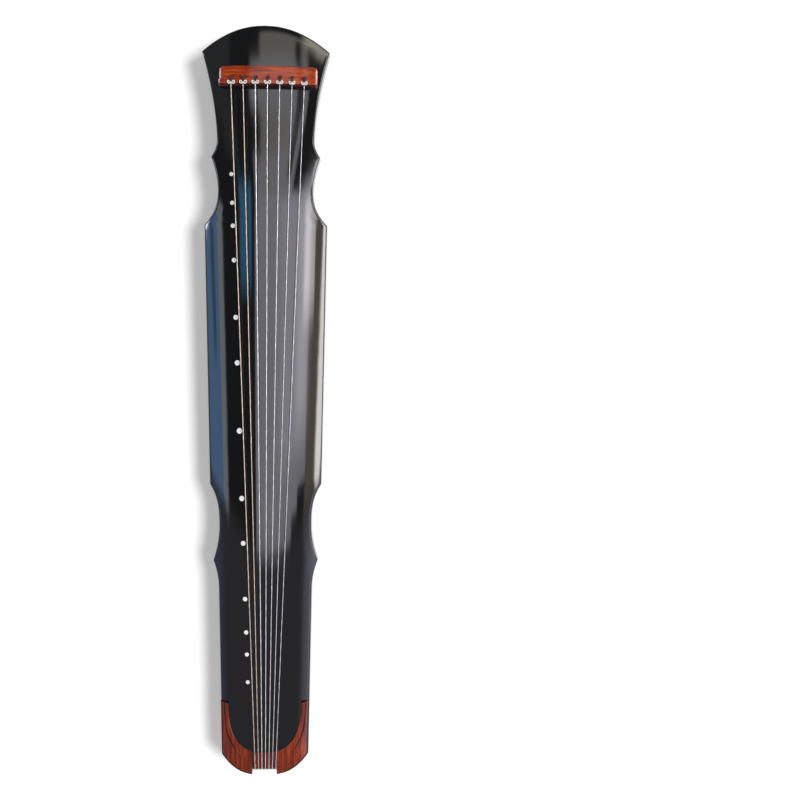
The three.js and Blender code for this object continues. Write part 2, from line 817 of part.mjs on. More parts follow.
function string_route(number) {
  const radius = string_diameter(number) / 2;
  const start_y = bridge_y(number);
  const start_z = bridge_top_z(start_y) + fit_gap + radius;
  const points = [
    new THREE.Vector3(knot_length / 2, start_y, start_z),
    new THREE.Vector3(0, start_y, start_z),
  ];

  const clear = fit_gap + radius;
  const over_x = nut_end_x + nut_round;
  const over_z = nut_top_z - nut_round;
  const over = turn_points(over_x, over_z, nut_round + clear, Math.PI / 2, Math.PI);
  over.forEach(([x, z]) => points.push(new THREE.Vector3(x, nut_y(number), z)));
  const lower_x = nut_end_x + lower_nut_round;
  const lower_z = lower_nut_z + lower_nut_round;
  const under = turn_points(lower_x, lower_z, lower_nut_round + clear, Math.PI, (3 / 2) * Math.PI);
  under.forEach(([x, z]) => points.push(new THREE.Vector3(x, under_y(number), z)));

  const side = number <= far_string_count ? 1 : -1;
  const middle = new THREE.Vector2(foot_x, side * foot_y);
  const ring = foot_neck_radius + clear;
  const last = points[points.length - 1];
  const away = new THREE.Vector2(last.x, last.y).sub(middle);
  const touch = away.angle() + side * Math.acos(ring / away.length());
  const pitch = 2 * radius + winding_gap;
  const steps = winding_turns * winding_steps;
  for (let step = 0; step <= steps; step += 1) {
    const turn = touch + (side * 2 * Math.PI * step) / winding_steps;
    const z = winding_top(number) - (pitch * step) / winding_steps;
    points.push(new THREE.Vector3(middle.x + ring * Math.cos(turn), middle.y + ring * Math.sin(turn), z));
  }
  return points;
}

// Least gap of a wound string to itself, between points that are half a turn or more apart along it
function least_gap(points, diameter) {
  let least = Infinity;
  for (let first = 0; first < points.length; first += 1) {
    for (let second = first + winding_steps / 2; second < points.length; second += 1) {
      least = Math.min(least, points[first].distanceTo(points[second]) - diameter);
    }
  }
  return least;
}

function string(number) {
  const route = string_route(number);
  const diameter = string_diameter(number);
  console.log(`string_${number}: least gap to itself ${least_gap(route, diameter).toFixed(2)} mm`);
  const knot = new THREE.SphereGeometry(1, 10, 6);
  knot.scale(knot_length / 2, knot_width / 2, knot_height / 2);
  knot.translate(knot_length / 2, bridge_y(number), route[0].z + knot_height / 2 - diameter / 2);
  return tube(route, diameter, string_sides).add(solid_of(knot));
}

// Build: the body and its fittings first, then what is strung on it
place("top_board", lacquer, top_board());
place("bottom_board", lacquer, bottom_board());
const round_shaft = round_bar(round_post_x, 0, round_post_radius, seam_z, above_all, slot_hole_sides);
const square_half = square_post_side / 2;
const square_ends = [square_post_x - square_half, square_post_x + square_half, -square_half, square_half];
const square_shaft = block(...square_ends, seam_z, above_all);
place("sound_post_round", pine, sound_post(round_shaft));
place("sound_post_square", pine, sound_post(square_shaft));
place("bridge", rosewood, cross_strip(0, bridge_depth, bridge_height));
const strip = cross_strip(bridge_depth, strip_depth, strip_height);
place("dew_strip", rosewood, strip.subtract(cord_holes(seam_z, above_all)));
place("tail_nut", rosewood, tail_nut());
place("lower_nut", rosewood, lower_nut());
place("peg_plate", rosewood, peg_plate());
for (const [word, side] of [["far", 1], ["near", -1]]) {
  place(`tail_crown_${word}`, rosewood, tail_crown(side));
  place(`tail_back_plate_${word}`, rosewood, tail_plate(side));
  place(`head_pad_${word}`, lacquer, head_pad(side));
  place(`foot_socket_${word}`, pine, foot_socket(side));
  place(`goose_foot_${word}`, peg_wood, goose_foot(side));
}
stud_shares.forEach((share, index) => place(`stud_${index + 1}`, pearl, stud_solid(share, 0, stud_depth, 0)));
for (const number of numbers) {
  place(`peg_${number}`, peg_wood, peg(number));
  place(`tuning_loop_${number}`, cord_fibre, tuning_loop(number));
  place(`cord_tail_${number}`, cord_fibre, cord_tail(number));
  place(`string_${number}`, number <= 2 ? tan_string : steel, string(number));
}

export default guqin;
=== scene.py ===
# A seven-string guqin that lies face up on its two feet and two head pads.
# Each section below is one piece of the instrument, in the order in which it is put together.
import math

import bmesh
import bpy
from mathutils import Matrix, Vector


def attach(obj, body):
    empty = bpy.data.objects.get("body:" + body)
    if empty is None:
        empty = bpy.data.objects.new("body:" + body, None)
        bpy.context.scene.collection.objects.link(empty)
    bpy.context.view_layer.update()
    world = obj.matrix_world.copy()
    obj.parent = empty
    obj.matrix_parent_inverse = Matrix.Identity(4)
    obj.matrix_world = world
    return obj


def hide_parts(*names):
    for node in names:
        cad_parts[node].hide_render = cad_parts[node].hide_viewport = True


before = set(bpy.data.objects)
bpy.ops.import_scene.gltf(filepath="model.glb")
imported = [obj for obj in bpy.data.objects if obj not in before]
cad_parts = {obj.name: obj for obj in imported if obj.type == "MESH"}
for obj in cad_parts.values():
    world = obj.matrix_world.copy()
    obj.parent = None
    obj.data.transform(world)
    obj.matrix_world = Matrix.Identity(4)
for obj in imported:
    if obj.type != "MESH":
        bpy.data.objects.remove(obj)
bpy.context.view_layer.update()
scene = bpy.context.scene
scene.view_settings.view_transform = "Standard"

# Camera: it looks down on the face from two metres up, a little to the player's side of the middle.
# Its long lens shows the whole instrument upright in the left half of the frame.
camera_lens = bpy.data.cameras.new("camera")
camera_lens.lens = 51.975
camera_lens.sensor_width = 36
camera = bpy.data.objects.new("camera", camera_lens)
camera.location = (0.0890, -0.1572, 1.9656)
camera.rotation_euler = [math.radians(turn) for turn in (-2.4104, -1.8924, -89.6271)]
scene.collection.objects.link(camera)
scene.camera = camera

# Bottom board: a flat plank with the outline of the instrument, lacquered black like the face.
# It is sawn to the head's curve, the scoops of neck and waist and the tail, then pierced from below.
# Measures in these sections are millimetres, and lengths along the body start at the bridge edge.
bridge_edge_x = 511
back_z = 40
seam_z = 50
head_rise = 39
head_corner = (60, 103)
neck_corner = (-109, 88)
shoulder = (-218, 99.5)
waist_start = (-641, 91.5)
waist_corner = (-767, 86)
tail_corner = (-1090, 71.5)
tail_tip_x = -1121
end_face_x = -1113
notch_half = 19.8
head_curve_power = 2.1
tail_curve_power = 3.1
side_scoops = [
    (head_corner, (-82, 78.5), neck_corner, 1.7, 2),
    (neck_corner, (-161, 76.5), shoulder, 1.6, 2.5),
    (waist_start, (-709, 75.5), waist_corner, 2.8, 2),
    (waist_corner, (-815, 76.5), tail_corner, 2, 1),
]
side_step = 9
middle_steps = 44
tail_steps = 16
rim_round = 2.5
steep = 0.3


def spot(x, y, z):
    """A point in the scene's metres, from millimetres that start at the bridge edge."""
    return Vector(((x + bridge_edge_x) / 1000, y / 1000, z / 1000))


def blend(low, high, share):
    return low + (high - low) * share


def eased(value, low, high):
    share = min(max((value - low) / (high - low), 0), 1)
    return share * share * (3 - 2 * share)


def half_width(x):
    """Half the width of the body at this place along it."""
    if x >= head_corner[0]:
        return head_corner[1]
    for start, dip, end, fall, climb in side_scoops:
        if start[0] >= x >= dip[0]:
            share = (start[0] - x) / (start[0] - dip[0])
            return dip[1] + (start[1] - dip[1]) * (1 - share) ** fall
        if dip[0] >= x >= end[0]:
            share = (dip[0] - x) / (dip[0] - end[0])
            return dip[1] + (end[1] - dip[1]) * share ** climb
    if shoulder[0] >= x >= waist_start[0]:
        return blend(shoulder[1], waist_start[1], (shoulder[0] - x) / (shoulder[0] - waist_start[0]))
    return tail_corner[1]


def side_places(x_end):
    """Places along the side from the head corner to x_end, each corner of the outline among them."""
    places = []
    for start, dip, end, _, _ in side_scoops:
        for first, last in ((start[0], dip[0]), (dip[0], end[0])):
            steps = max(8, round((first - last) / side_step))
            places += [blend(first, last, step / steps) for step in range(steps)]
        if end == shoulder:
            places += [blend(end[0], waist_start[0], step / middle_steps) for step in range(middle_steps)]
    return [x for x in places if x > x_end + 1] + [x_end]


def head_x(share):
    return head_corner[0] + head_rise * (1 - abs(share) ** head_curve_power)


def tail_x(y):
    """The tail's curve, from its corner to the tip beside the notch."""
    share = abs(y) / tail_corner[1]
    tip_share = notch_half / tail_corner[1]
    fall = (1 - share ** tail_curve_power) / (1 - tip_share ** tail_curve_power)
    return blend(tail_corner[0], tail_tip_x, fall)


def tail_end():
    """The far half of the tail, from its corner into the notch."""
    widths = [blend(tail_corner[1], notch_half, step / tail_steps) for step in range(1, tail_steps + 1)]
    return [(tail_x(y), y) for y in widths] + [(end_face_x, notch_half)]


def body_outline():
    far = [(head_x(step / 20), head_corner[1] * step / 20) for step in range(20)]
    far += [(x, half_width(x)) for x in side_places(tail_corner[0])] + tail_end()
    return far + [(x, -y) for x, y in reversed(far[1:])]


def new_verts(made):
    """The vertices among what an operator has drawn out."""
    return [part for part in made["geom"] if isinstance(part, bmesh.types.BMVert)]


def plank(points, low, high):
    """A closed board of this outline between two heights."""
    form = bmesh.new()
    form.faces.new([form.verts.new(spot(x, y, low)) for x, y in points])
    grown = bmesh.ops.extrude_face_region(form, geom=form.faces[:])
    bmesh.ops.translate(form, vec=(0, 0, (high - low) / 1000), verts=new_verts(grown))
    bmesh.ops.recalc_face_normals(form, faces=form.faces[:])
    return form


def turned(x, y, profile, steps):
    """A piece turned on the lathe about an upright axis, from (radius, height) points."""
    form = bmesh.new()
    line = [form.verts.new(spot(x + radius, y, z)) for radius, z in profile]
    edges = [form.edges.new(pair) for pair in zip(line, line[1:])]
    bmesh.ops.spin(form, geom=line + edges, cent=spot(x, y, 0), axis=(0, 0, 1), angle=2 * math.pi,
                   steps=steps, use_merge=True)
    bmesh.ops.remove_doubles(form, verts=form.verts[:], dist=1e-6)
    bmesh.ops.recalc_face_normals(form, faces=form.faces[:])
    return form


def rounded(form, edges, radius, segments=4):
    bmesh.ops.bevel(form, geom=edges, offset=radius / 1000, affect="EDGES", segments=segments,
                    profile=0.5, material=-1, clamp_overlap=True)


def piece_of(name, form, *finishes, angle=32):
    """A piece with its finishes, smooth except where it turns by more than this angle."""
    mesh = bpy.data.meshes.new(name)
    form.to_mesh(mesh)
    form.free()
    for finish in finishes:
        mesh.materials.append(finish)
    mesh.shade_smooth()
    mesh.set_sharp_from_angle(angle=math.radians(angle))
    piece = bpy.data.objects.new(name, mesh)
    scene.collection.objects.link(piece)
    return piece


def settled(piece):
    """The piece with its modifiers made part of its mesh."""
    shown = piece.evaluated_get(bpy.context.evaluated_depsgraph_get())
    mesh = bpy.data.meshes.new_from_object(shown)
    piece.modifiers.clear()
    piece.data = mesh
    return piece


def carved(piece, *cutters, angle=32):
    """Takes the shape of each cutter out of the piece."""
    tools = [piece_of("cutter", cutter) for cutter in cutters]
    for tool in tools:
        cut = piece.modifiers.new("cut", "BOOLEAN")
        cut.object = tool
        cut.solver = "EXACT"
    settled(piece)
    piece.data.set_sharp_from_angle(angle=math.radians(angle))
    for tool in tools:
        bpy.data.objects.remove(tool)
    return piece


def even_gloss(piece):
    """Lets the broad faces lead the shading, so that rounded edges don't bend reflections beside them."""
    even = piece.modifiers.new("even_gloss", "WEIGHTED_NORMAL")
    even.keep_sharp = True
    even.weight = 80


def feed(tree, socket, value):
    """Links a socket to an output, or gives it a value of its own."""
    if isinstance(value, bpy.types.NodeSocket):
        tree.links.new(value, socket)
    else:
        socket.default_value = value


def node(tree, kind, *values, **settings):
    """A shader node. Values go to its first sockets, and settings to its options and sockets by name."""
    made = tree.nodes.new("ShaderNode" + kind)
    for key, value in settings.items():
        if hasattr(made, key):
            setattr(made, key, value)
        else:
            feed(tree, made.inputs[key.replace("_", " ")], value)
    for socket, value in zip(made.inputs, values):
        feed(tree, socket, value)
    return made


def new_finish(name, **settings):
    """A finish with its node tree and its shader, whose own sockets are set by name."""
    finish = bpy.data.materials.new(name)
    finish.use_nodes = True
    tree = finish.node_tree
    shader = tree.nodes["Principled BSDF"]
    for key, value in settings.items():
        shader.inputs[key.replace("_", " ")].default_value = value
    return finish, tree, shader


def on_piece(tree, scale=(1, 1, 1)):
    """Places on the piece itself, squeezed across its grain."""
    places = node(tree, "TexCoord")
    return node(tree, "Mapping", Vector=places.outputs["Object"], Scale=scale).outputs["Vector"]


def toned(tree, value, *stops):
    """The colour that belongs to a value, from stops that each give a place and a colour."""
    ramp = node(tree, "ValToRGB", Fac=value)
    elements = ramp.color_ramp.elements
    for _ in stops[2:]:
        elements.new(0.5)
    for element, (place, colour) in zip(elements, stops):
        element.position = place
        element.color = (*colour, 1)
    return ramp.outputs["Color"]


def raised(tree, shader, height, strength, distance, invert=False):
    """Fine relief in a finish, as high as the values of its pattern."""
    bump = node(tree, "Bump", Height=height, Strength=strength, Distance=distance, invert=invert)
    tree.links.new(bump.outputs["Normal"], shader.inputs["Normal"])


def black_lacquer(name, depth, strength, smoothest, dullest):
    finish, tree, shader = new_finish(name, IOR=1.5, Specular_IOR_Level=strength,
                                      Base_Color=(depth, depth * 1.05, depth * 1.2, 1))
    places = on_piece(tree)
    rubbing = node(tree, "TexNoise", Vector=places, Scale=9, Detail=4)
    gloss = node(tree, "MapRange", Value=rubbing.outputs["Fac"], From_Min=0.3, From_Max=0.7,
                 To_Min=smoothest, To_Max=dullest)
    tree.links.new(gloss.outputs["Result"], shader.inputs["Roughness"])
    waves = node(tree, "TexNoise", Vector=places, Scale=26, Detail=1)
    raised(tree, shader, waves.outputs["Fac"], 0.05, 0.001)
    return finish


def board_wood(name, dark, light):
    finish, tree, shader = new_finish(name, Roughness=0.6)
    grain = node(tree, "TexNoise", Vector=on_piece(tree, (2.2, 60, 60)), Scale=2.4, Detail=6, Distortion=0.6)
    colour = toned(tree, grain.outputs["Fac"], (0.34, dark), (0.66, light))
    tree.links.new(colour, shader.inputs["Base Color"])
    raised(tree, shader, grain.outputs["Fac"], 0.3, 0.0004)
    return finish


round_hole = (-423, 37)
slot_hole = (-915, 112, 14.2)
cord_hole_x = 15.9
cord_bore_radius = 2.9
foot_place = (-775, 52)
tenon_bore_radius = 7.3
pool_half = (12.3, 73.3)
pool_corner = 5
pool_top_z = 48
plate_start_x = -1009
plate_length = 66
plate_half = 73
plate_side_y = 69.5
plate_inner_y = 19.75
plate_border = 12
plate_top_z = 43
plate_gap = 0.15
under_nut_start_x = -1075.6
under_nut_top_z = 45.7
strings = range(1, 8)
middle_string = 4
bridge_middle_y = -5
string_spacing = 19.4
cut_low = 30
cut_high = 55


def bridge_y(number):
    return bridge_middle_y + string_spacing * (middle_string - number)


def drill(x, y, radius, steps):
    """A round cutter right through the back."""
    return turned(x, y, [(0, cut_low), (radius, cut_low), (radius, cut_high), (0, cut_high)], steps)


def cord_bores(low, high):
    """Seven bores for the tuning cords, as one cutter."""
    bores = bmesh.new()
    radius = cord_bore_radius / 1000
    for number in strings:
        made = bmesh.ops.create_cone(bores, cap_ends=True, segments=20, radius1=radius, radius2=radius,
                                     depth=(high - low) / 1000)
        bmesh.ops.translate(bores, vec=spot(cord_hole_x, bridge_y(number), (low + high) / 2),
                            verts=made["verts"])
    return bores


def arc(x, y, radius, start, steps):
    """Points along a round corner or end, 15 degrees apart."""
    turns = [math.radians(start + 15 * step) for step in range(steps + 1)]
    return [(x + radius * math.cos(turn), y + radius * math.sin(turn)) for turn in turns]


def lozenge(x_middle, length, radius, low, high):
    """A long hole with half-round ends."""
    reach = length / 2 - radius
    points = arc(x_middle + reach, 0, radius, -90, 12) + arc(x_middle - reach, 0, radius, 90, 12)
    return plank(points, low, high)


def round_rect(x_low, x_high, half, radius, low, high):
    """A block across the body with rounded upright corners."""
    left, right, side = x_low + radius, x_high - radius, half - radius
    points = arc(right, side, radius, 0, 6) + arc(left, side, radius, 90, 6)
    points += arc(left, -side, radius, 180, 6) + arc(right, -side, radius, 270, 6)
    return plank(points, low, high)


def plate_curve(grow):
    """Inner edge of the wood under the tail: a soft S from each side to a flat middle."""
    shares = [(0, 1), (0.1, 0.9), (0.36, 0.755), (0.67, 0.665), (0.88, 0.52), (0.98, 0.34), (1, 0.2)]
    far = [(plate_start_x - (plate_length - grow) * along, (plate_half - grow) * across)
           for along, across in shares]
    knots = far + [(x, -y) for x, y in reversed(far)]
    knots = [knots[0]] + knots + [knots[-1]]
    points = []
    for before, first, last, after in zip(knots, knots[1:], knots[2:], knots[3:]):
        for step in range(5):
            t = step / 5
            weights = (-t + 2 * t ** 2 - t ** 3, 2 - 5 * t ** 2 + 3 * t ** 3,
                       t + 4 * t ** 2 - 3 * t ** 3, t ** 3 - t ** 2)
            near = (before, first, last, after)
            points.append(tuple(sum(w * p[axis] for w, p in zip(weights, near)) / 2 for axis in (0, 1)))
    return points + [knots[-1]]


def plate_outline(side, grow):
    """Outline of the wood under one half of the tail, inside a black border."""
    inner = plate_inner_y - grow
    limit = plate_side_y + grow
    curve = [(x, side * y) for x, y in plate_curve(grow) if y > inner]
    curve = [point for point in curve if abs(point[1]) < limit - 0.2]
    tail = []
    for step in range(13):
        y = blend(limit, inner, step / 12)
        tail.append((tail_x(y) + plate_border - grow, side * y))
    start_x = curve[0][0] + 1.5
    last_x = curve[-1][0] + (curve[-1][0] - curve[-2][0]) * 0.3
    return [(start_x, side * limit)] + tail + [(last_x, side * inner)] + curve[::-1]


lacquer = black_lacquer("lacquer", 0.004, 0.5, 0.035, 0.055)
side_lacquer = black_lacquer("side_lacquer", 0.01, 0.15, 0.18, 0.26)
inner_wood = board_wood("board_wood", (0.085, 0.026, 0.008), (0.40, 0.160, 0.045))
rim_wood = board_wood("rim_wood", (0.33, 0.19, 0.095), (0.62, 0.42, 0.25))
form = plank(body_outline(), back_z, seam_z)
notch = spot(end_face_x + 1, notch_half + 0.1, back_z + 1)
rim = [edge for edge in form.edges if max(v.co.z for v in edge.verts) < notch.z
       and not all(v.co.x < notch.x and abs(v.co.y) < notch.y for v in edge.verts)]
rounded(form, rim, rim_round)
back = piece_of("lacquered_back", form, lacquer, inner_wood, rim_wood, side_lacquer)
carved(
    back,
    drill(round_hole[0], 0, round_hole[1], 72),
    lozenge(*slot_hole, cut_low, cut_high),
    drill(foot_place[0], foot_place[1], tenon_bore_radius, 24),
    drill(foot_place[0], -foot_place[1], tenon_bore_radius, 24),
    round_rect(cord_hole_x - pool_half[0], cord_hole_x + pool_half[0], pool_half[1], pool_corner, cut_low,
               pool_top_z),
    cord_bores(cut_low, cut_high),
    plank(plate_outline(1, plate_gap), cut_low, plate_top_z + 0.1),
    plank(plate_outline(-1, plate_gap), cut_low, plate_top_z + 0.1),
    round_rect(end_face_x - 17, under_nut_start_x + 0.4, notch_half, 0.5, cut_low, under_nut_top_z + 0.3),
)
hole_low, hole_high = spot(slot_hole[0] - 60, -40, 0), spot(round_hole[0] + 40, 40, 0)
for wall in back.data.polygons:
    if abs(wall.normal.z) < steep:
        in_hole = hole_low.x < wall.center.x < hole_high.x and abs(wall.center.y) < hole_high.y
        wall.material_index = 2 if in_hole else 3
even_gloss(back)
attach(back, "root")
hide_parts("bottom_board")

# Sound posts and foot sockets: plain pine, glued in before the boards are closed.
# The two posts couple face and back, and each socket block holds the tenon of one foot.
for name in ("sound_post_round", "sound_post_square", "foot_socket_far", "foot_socket_near"):
    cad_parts[name].data.materials.clear()
    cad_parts[name].data.materials.append(inner_wood)

# Top board: a thick plank carved to a low arch above and hollowed below, then lacquered black.
# The wood is left thick over each sound hole, and the tail corners are sunk for the red wood.
crown_top_x = -1000
crown_reach = 84
crown_half = 60
crown_power = 2.6
bed_z = 59
nut_end_x = -1115
arch_heights = (46, 52, 40)
arch_falls = (11.5, 20, 27)
face_thickness = 11
hollow_line = [(-123, 62.5), (-218, 62.5), (-232, 85.5), (-627, 77.5), (-709, 61.5), (-815, 62.5),
               (-985, 57.5)]


def along_body(x, at_head, at_shoulder, at_tail):
    if x > shoulder[0]:
        return blend(at_head, at_shoulder, eased(-x, 0, -shoulder[0]))
    return blend(at_shoulder, at_tail, min((shoulder[0] - x) / (shoulder[0] - nut_end_x), 1))


def face_z(x, y):
    """Height of the arched face."""
    return back_z + along_body(x, *arch_heights) - along_body(x, *arch_falls) * (y / shoulder[1]) ** 2


def crown_edge(turn, grow=0):
    """A point on the deep U between the tail's red crowns."""
    across = (crown_half + grow) * math.copysign(abs(math.cos(turn)) ** (2 / crown_power), math.cos(turn))
    along = (crown_reach + grow) * abs(math.sin(turn)) ** (2 / crown_power)
    return crown_top_x - along, across


def mapped_grid(form, rows, columns, place):
    """A grid whose crossing (row, column) goes to place(row, column)."""
    made = bmesh.ops.create_grid(form, x_segments=rows, y_segments=columns, size=1)["verts"]
    spots = {}
    for vert in made:
        row = round((1 - vert.co.x) / 2 * rows)
        column = round((vert.co.y + 1) / 2 * columns)
        spots[vert] = (row, column)
    for vert, (row, column) in spots.items():
        vert.co = place(row, column)
    return spots


def drop_edge(form, edges, z):
    """Walls from these edges down to a height."""
    grown = bmesh.ops.extrude_edge_only(form, edges=edges)
    for vert in new_verts(grown):
        vert.co.z = z / 1000
    return [part for part in grown["geom"] if isinstance(part, bmesh.types.BMEdge)]


face_rows = side_places(hollow_line[-1][0])
tongue_rows = 8
tongue_steps = 40
tongue_ends = [crown_edge(math.pi * step / tongue_steps) for step in range(tongue_steps + 1)]
arm_half = half_width(crown_top_x)
outer_shares = [1, 0.94, 0.87]
shares = outer_shares + [y / arm_half for _, y in tongue_ends] + [-share for share in outer_shares[::-1]]
end_places = [crown_top_x] * 3 + [x for x, _ in tongue_ends] + [crown_top_x] * 3


def face_place(row, column):
    share = shares[column]
    if row < len(face_rows):
        x_side = face_rows[row]
        reach = min(max((x_side - 20) / 40, 0), 1)
        x = x_side + (head_x(share) - head_corner[0]) * reach
        y = share * half_width(x_side)
    else:
        way = (row - len(face_rows) + 1) / tongue_rows
        x = blend(face_rows[-1], end_places[column], way)
        y = share * half_width(max(x, crown_top_x))
    return spot(x, y, face_z(x, y))


form = bmesh.new()
spots = mapped_grid(form, len(face_rows) - 1 + tongue_rows, len(shares) - 1, face_place)
last_row = len(face_rows) - 1 + tongue_rows
rim = [edge for edge in form.edges
       if edge.is_boundary and not all(spots[vert][0] == last_row for vert in edge.verts)]
outer_foot = drop_edge(form, [edge for edge in form.edges if edge.is_boundary], seam_z)

hollow_rows = 120
hollow_columns = 20
thick_place_reach = (75, 40)
thick_place_rise = 16


def hollow_half(x):
    for first, last in zip(hollow_line, hollow_line[1:]):
        if first[0] >= x >= last[0]:
            return blend(first[1], last[1], (first[0] - x) / (first[0] - last[0]))
    return hollow_line[-1][1]


def hollow_place(row, column):
    x = hollow_line[0][0] + (hollow_line[-1][0] - hollow_line[0][0]) * row / hollow_rows
    y = hollow_half(x) * (1 - 2 * column / hollow_columns)
    z = face_z(x, y) - face_thickness
    for middle in (round_hole[0], slot_hole[0]):
        away = math.hypot((x - middle) / thick_place_reach[0], y / thick_place_reach[1])
        z = blend(z, seam_z + thick_place_rise, 1 - eased(away, 0.92, 1.05))
    return spot(x, y, z)


outer_faces = set(form.faces)
outer_edges = set(form.edges)
mapped_grid(form, hollow_rows, hollow_columns, hollow_place)
hollow_rim = [edge for edge in form.edges if edge.is_boundary and edge not in outer_edges]
hollow_foot = drop_edge(form, hollow_rim, seam_z)
bmesh.ops.triangle_fill(form, use_beauty=True, edges=outer_foot + hollow_foot, normal=(0, 0, -1))
for face in form.faces:
    if face not in outer_faces:
        face.material_index = 1

base = [(x, half_width(x)) for x in (crown_top_x, -1030, -1060, tail_corner[0])] + tail_end()
base += [(x, -y) for x, y in reversed(base)]
base += [(x, y) for x, y in reversed(tongue_ends)]
floor_face = form.faces.new([form.verts.new(spot(x, y, seam_z)) for x, y in base])
for vert in new_verts(bmesh.ops.extrude_face_region(form, geom=[floor_face])):
    vert.co.z = bed_z / 1000
bmesh.ops.recalc_face_normals(form, faces=form.faces[:])
rounded(form, [edge for edge in rim if edge.is_valid], rim_round)
form.normal_update()
for wall in form.faces:
    if wall.material_index == 0 and abs(wall.normal.z) < steep:
        wall.material_index = 2
face = piece_of("lacquered_face", form, lacquer, inner_wood, side_lacquer)
carved(face, cord_bores(45, 100))
even_gloss(face)
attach(face, "root")
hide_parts("top_board")

# Bridge and cord strip: one block of polished red wood in two steps across the head, dark on its front, which
# is painted shade: the faces that turn towards the tail take a darker copy of the wood.
# The strings leave the front step, and the cords drop through seven bores in the lower one.
bridge_half = 78.5
bridge_depth = 11.7
bridge_height = 15.5
strip_depth = 22
strip_height = 5
end_slope = math.tan(math.radians(15))
end_slant = 2.6
bar_rows = 44
end_rows = 10
bar_lift = 0.1


def red_wood(name, grain, tones, pores=1.0):
    """Polished red wood: streaks and fine dark pores along its grain, under a clear coat."""
    finish, tree, shader = new_finish(name, Roughness=0.4, Specular_IOR_Level=0.12, Coat_Weight=0.5,
                                      Coat_Roughness=0.07)
    streak_places = on_piece(tree, [1 if axis == grain else 14 for axis in range(3)])
    streaks = node(tree, "TexNoise", Vector=streak_places, Scale=22, Detail=5, Distortion=0.5)
    colour = toned(tree, streaks.outputs["Fac"], *zip((0.3, 0.5, 0.72), tones))
    pore_places = on_piece(tree, [1 if axis == grain else 9 for axis in range(3)])
    dots = node(tree, "TexNoise", Vector=pore_places, Scale=210, Detail=2)
    marks = node(tree, "MapRange", Value=dots.outputs["Fac"], From_Min=0.60, From_Max=0.68, To_Min=0,
                 To_Max=0.75 * pores)
    shade = node(tree, "Mix", data_type="RGBA", blend_type="MULTIPLY", Factor=marks.outputs["Result"],
                 A=colour, B=(0.22, 0.12, 0.10, 1))
    tree.links.new(shade.outputs["Result"], shader.inputs["Base Color"])
    raised(tree, shader, marks.outputs["Result"], 0.25, 0.0002, invert=True)
    return finish


def rounded_turn(x_middle, z_middle, radius, first, last, steps=6):
    return [(x_middle + radius * math.cos(blend(first, last, step / steps)),
             z_middle + radius * math.sin(blend(first, last, step / steps))) for step in range(steps + 1)]


def cross_bar(x_low, depth, height, side, corner, tail_round, head_round):
    """A bar across the head that follows its arch, with slanted ends and two rounded corners on one side."""
    profile = [(0, bar_lift)]
    profile += rounded_turn(tail_round, height - tail_round, tail_round, math.pi, math.pi / 2, 8)
    profile += rounded_turn(depth - head_round, height - head_round, head_round, math.pi / 2, 0, 8)
    profile += [(depth, bar_lift), (0, bar_lift)]
    end_places = [1 - math.cos(math.pi / 2 * step / end_rows) for step in range(end_rows + 1)]
    middle_row = bar_rows // 2

    def bar_place(row, column):
        from_end = min(row, bar_rows - row)
        if from_end <= end_rows:
            inward = corner * end_places[from_end]
        else:
            inward = blend(corner, bridge_half, (from_end - end_rows) / (middle_row - end_rows))
        y = bridge_middle_y + math.copysign(bridge_half - inward, row - middle_row)
        inset = corner - math.sqrt(corner ** 2 - (corner - min(inward, corner)) ** 2)
        top = height - max(end_slant - inward, 0) * end_slope
        x, z = profile[column]
        x = x * (depth - inset) / depth + (inset if side == "tail" else 0)
        rise = blend(bar_lift, top, (z - bar_lift) / (height - bar_lift))
        return spot(x_low + x, y, face_z(0, y) + rise)

    form = bmesh.new()
    mapped_grid(form, bar_rows, len(profile) - 1, bar_place)
    bmesh.ops.remove_doubles(form, verts=form.verts[:], dist=1e-6)
    bmesh.ops.edgeloop_fill(form, edges=[edge for edge in form.edges if edge.is_boundary])
    bmesh.ops.recalc_face_normals(form, faces=form.faces[:])
    return form


bridge_wood = red_wood("bridge_wood", 1, ((0.16, 0.013, 0.002), (0.32, 0.034, 0.003), (0.47, 0.075, 0.007)))
# Painted shade: a darker copy of the bridge wood, for the faces that turn towards the tail.
shaded_front_wood = red_wood("shaded_front_wood", 1, ((0.020, 0.002, 0.001), (0.035, 0.004, 0.002), (0.06, 0.007, 0.003)))
form = cross_bar(0, bridge_depth, bridge_height, "tail", 3, 4.6, 1)
form.normal_update()
# Painted shade: faces turned towards the tail get the darker copy of the wood.
for panel in form.faces:
    if panel.normal.x < -0.25:
        panel.material_index = 1
bridge = piece_of("bridge_block", form, bridge_wood, shaded_front_wood, angle=12)
even_gloss(bridge)
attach(bridge, "root")
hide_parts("bridge")
form = cross_bar(bridge_depth, strip_depth, strip_height, "head", 6.5, 0.5, 1.1)
strip = piece_of("cord_strip", form, bridge_wood, angle=12)
carved(strip, cord_bores(60, 110), angle=12)
even_gloss(strip)
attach(strip, "root")
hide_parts("dew_strip")

# Tail nuts: hard red wood at the end of the body, one on the face and one below it.
# The strings bend over their rounded edges on their way round the tail.
nut_half = 19.5
nut_gap = 0.3
nut_top_z = 82
nut_round = 10
under_nut_z = 38.8
under_nut_round = 3
flat_steps = 6
bend_steps = 8
nut_columns = 16
nut_wood = red_wood("nut_wood", 0, ((0.05, 0.006, 0.005), (0.09, 0.011, 0.007), (0.15, 0.020, 0.010)))
form = bmesh.new()


def nut_place(row, column):
    y = nut_half * (1 - 2 * column / nut_columns)
    front = crown_edge(math.acos(min(abs(y / crown_half), 1) ** (crown_power / 2)))[0] - nut_gap
    if row <= flat_steps:
        return spot(blend(front, nut_end_x + nut_round, row / flat_steps), y, nut_top_z)
    turn = math.pi / 2 * (row - flat_steps) / bend_steps
    return spot(nut_end_x + nut_round * (1 - math.sin(turn)), y, nut_top_z - nut_round * (1 - math.cos(turn)))


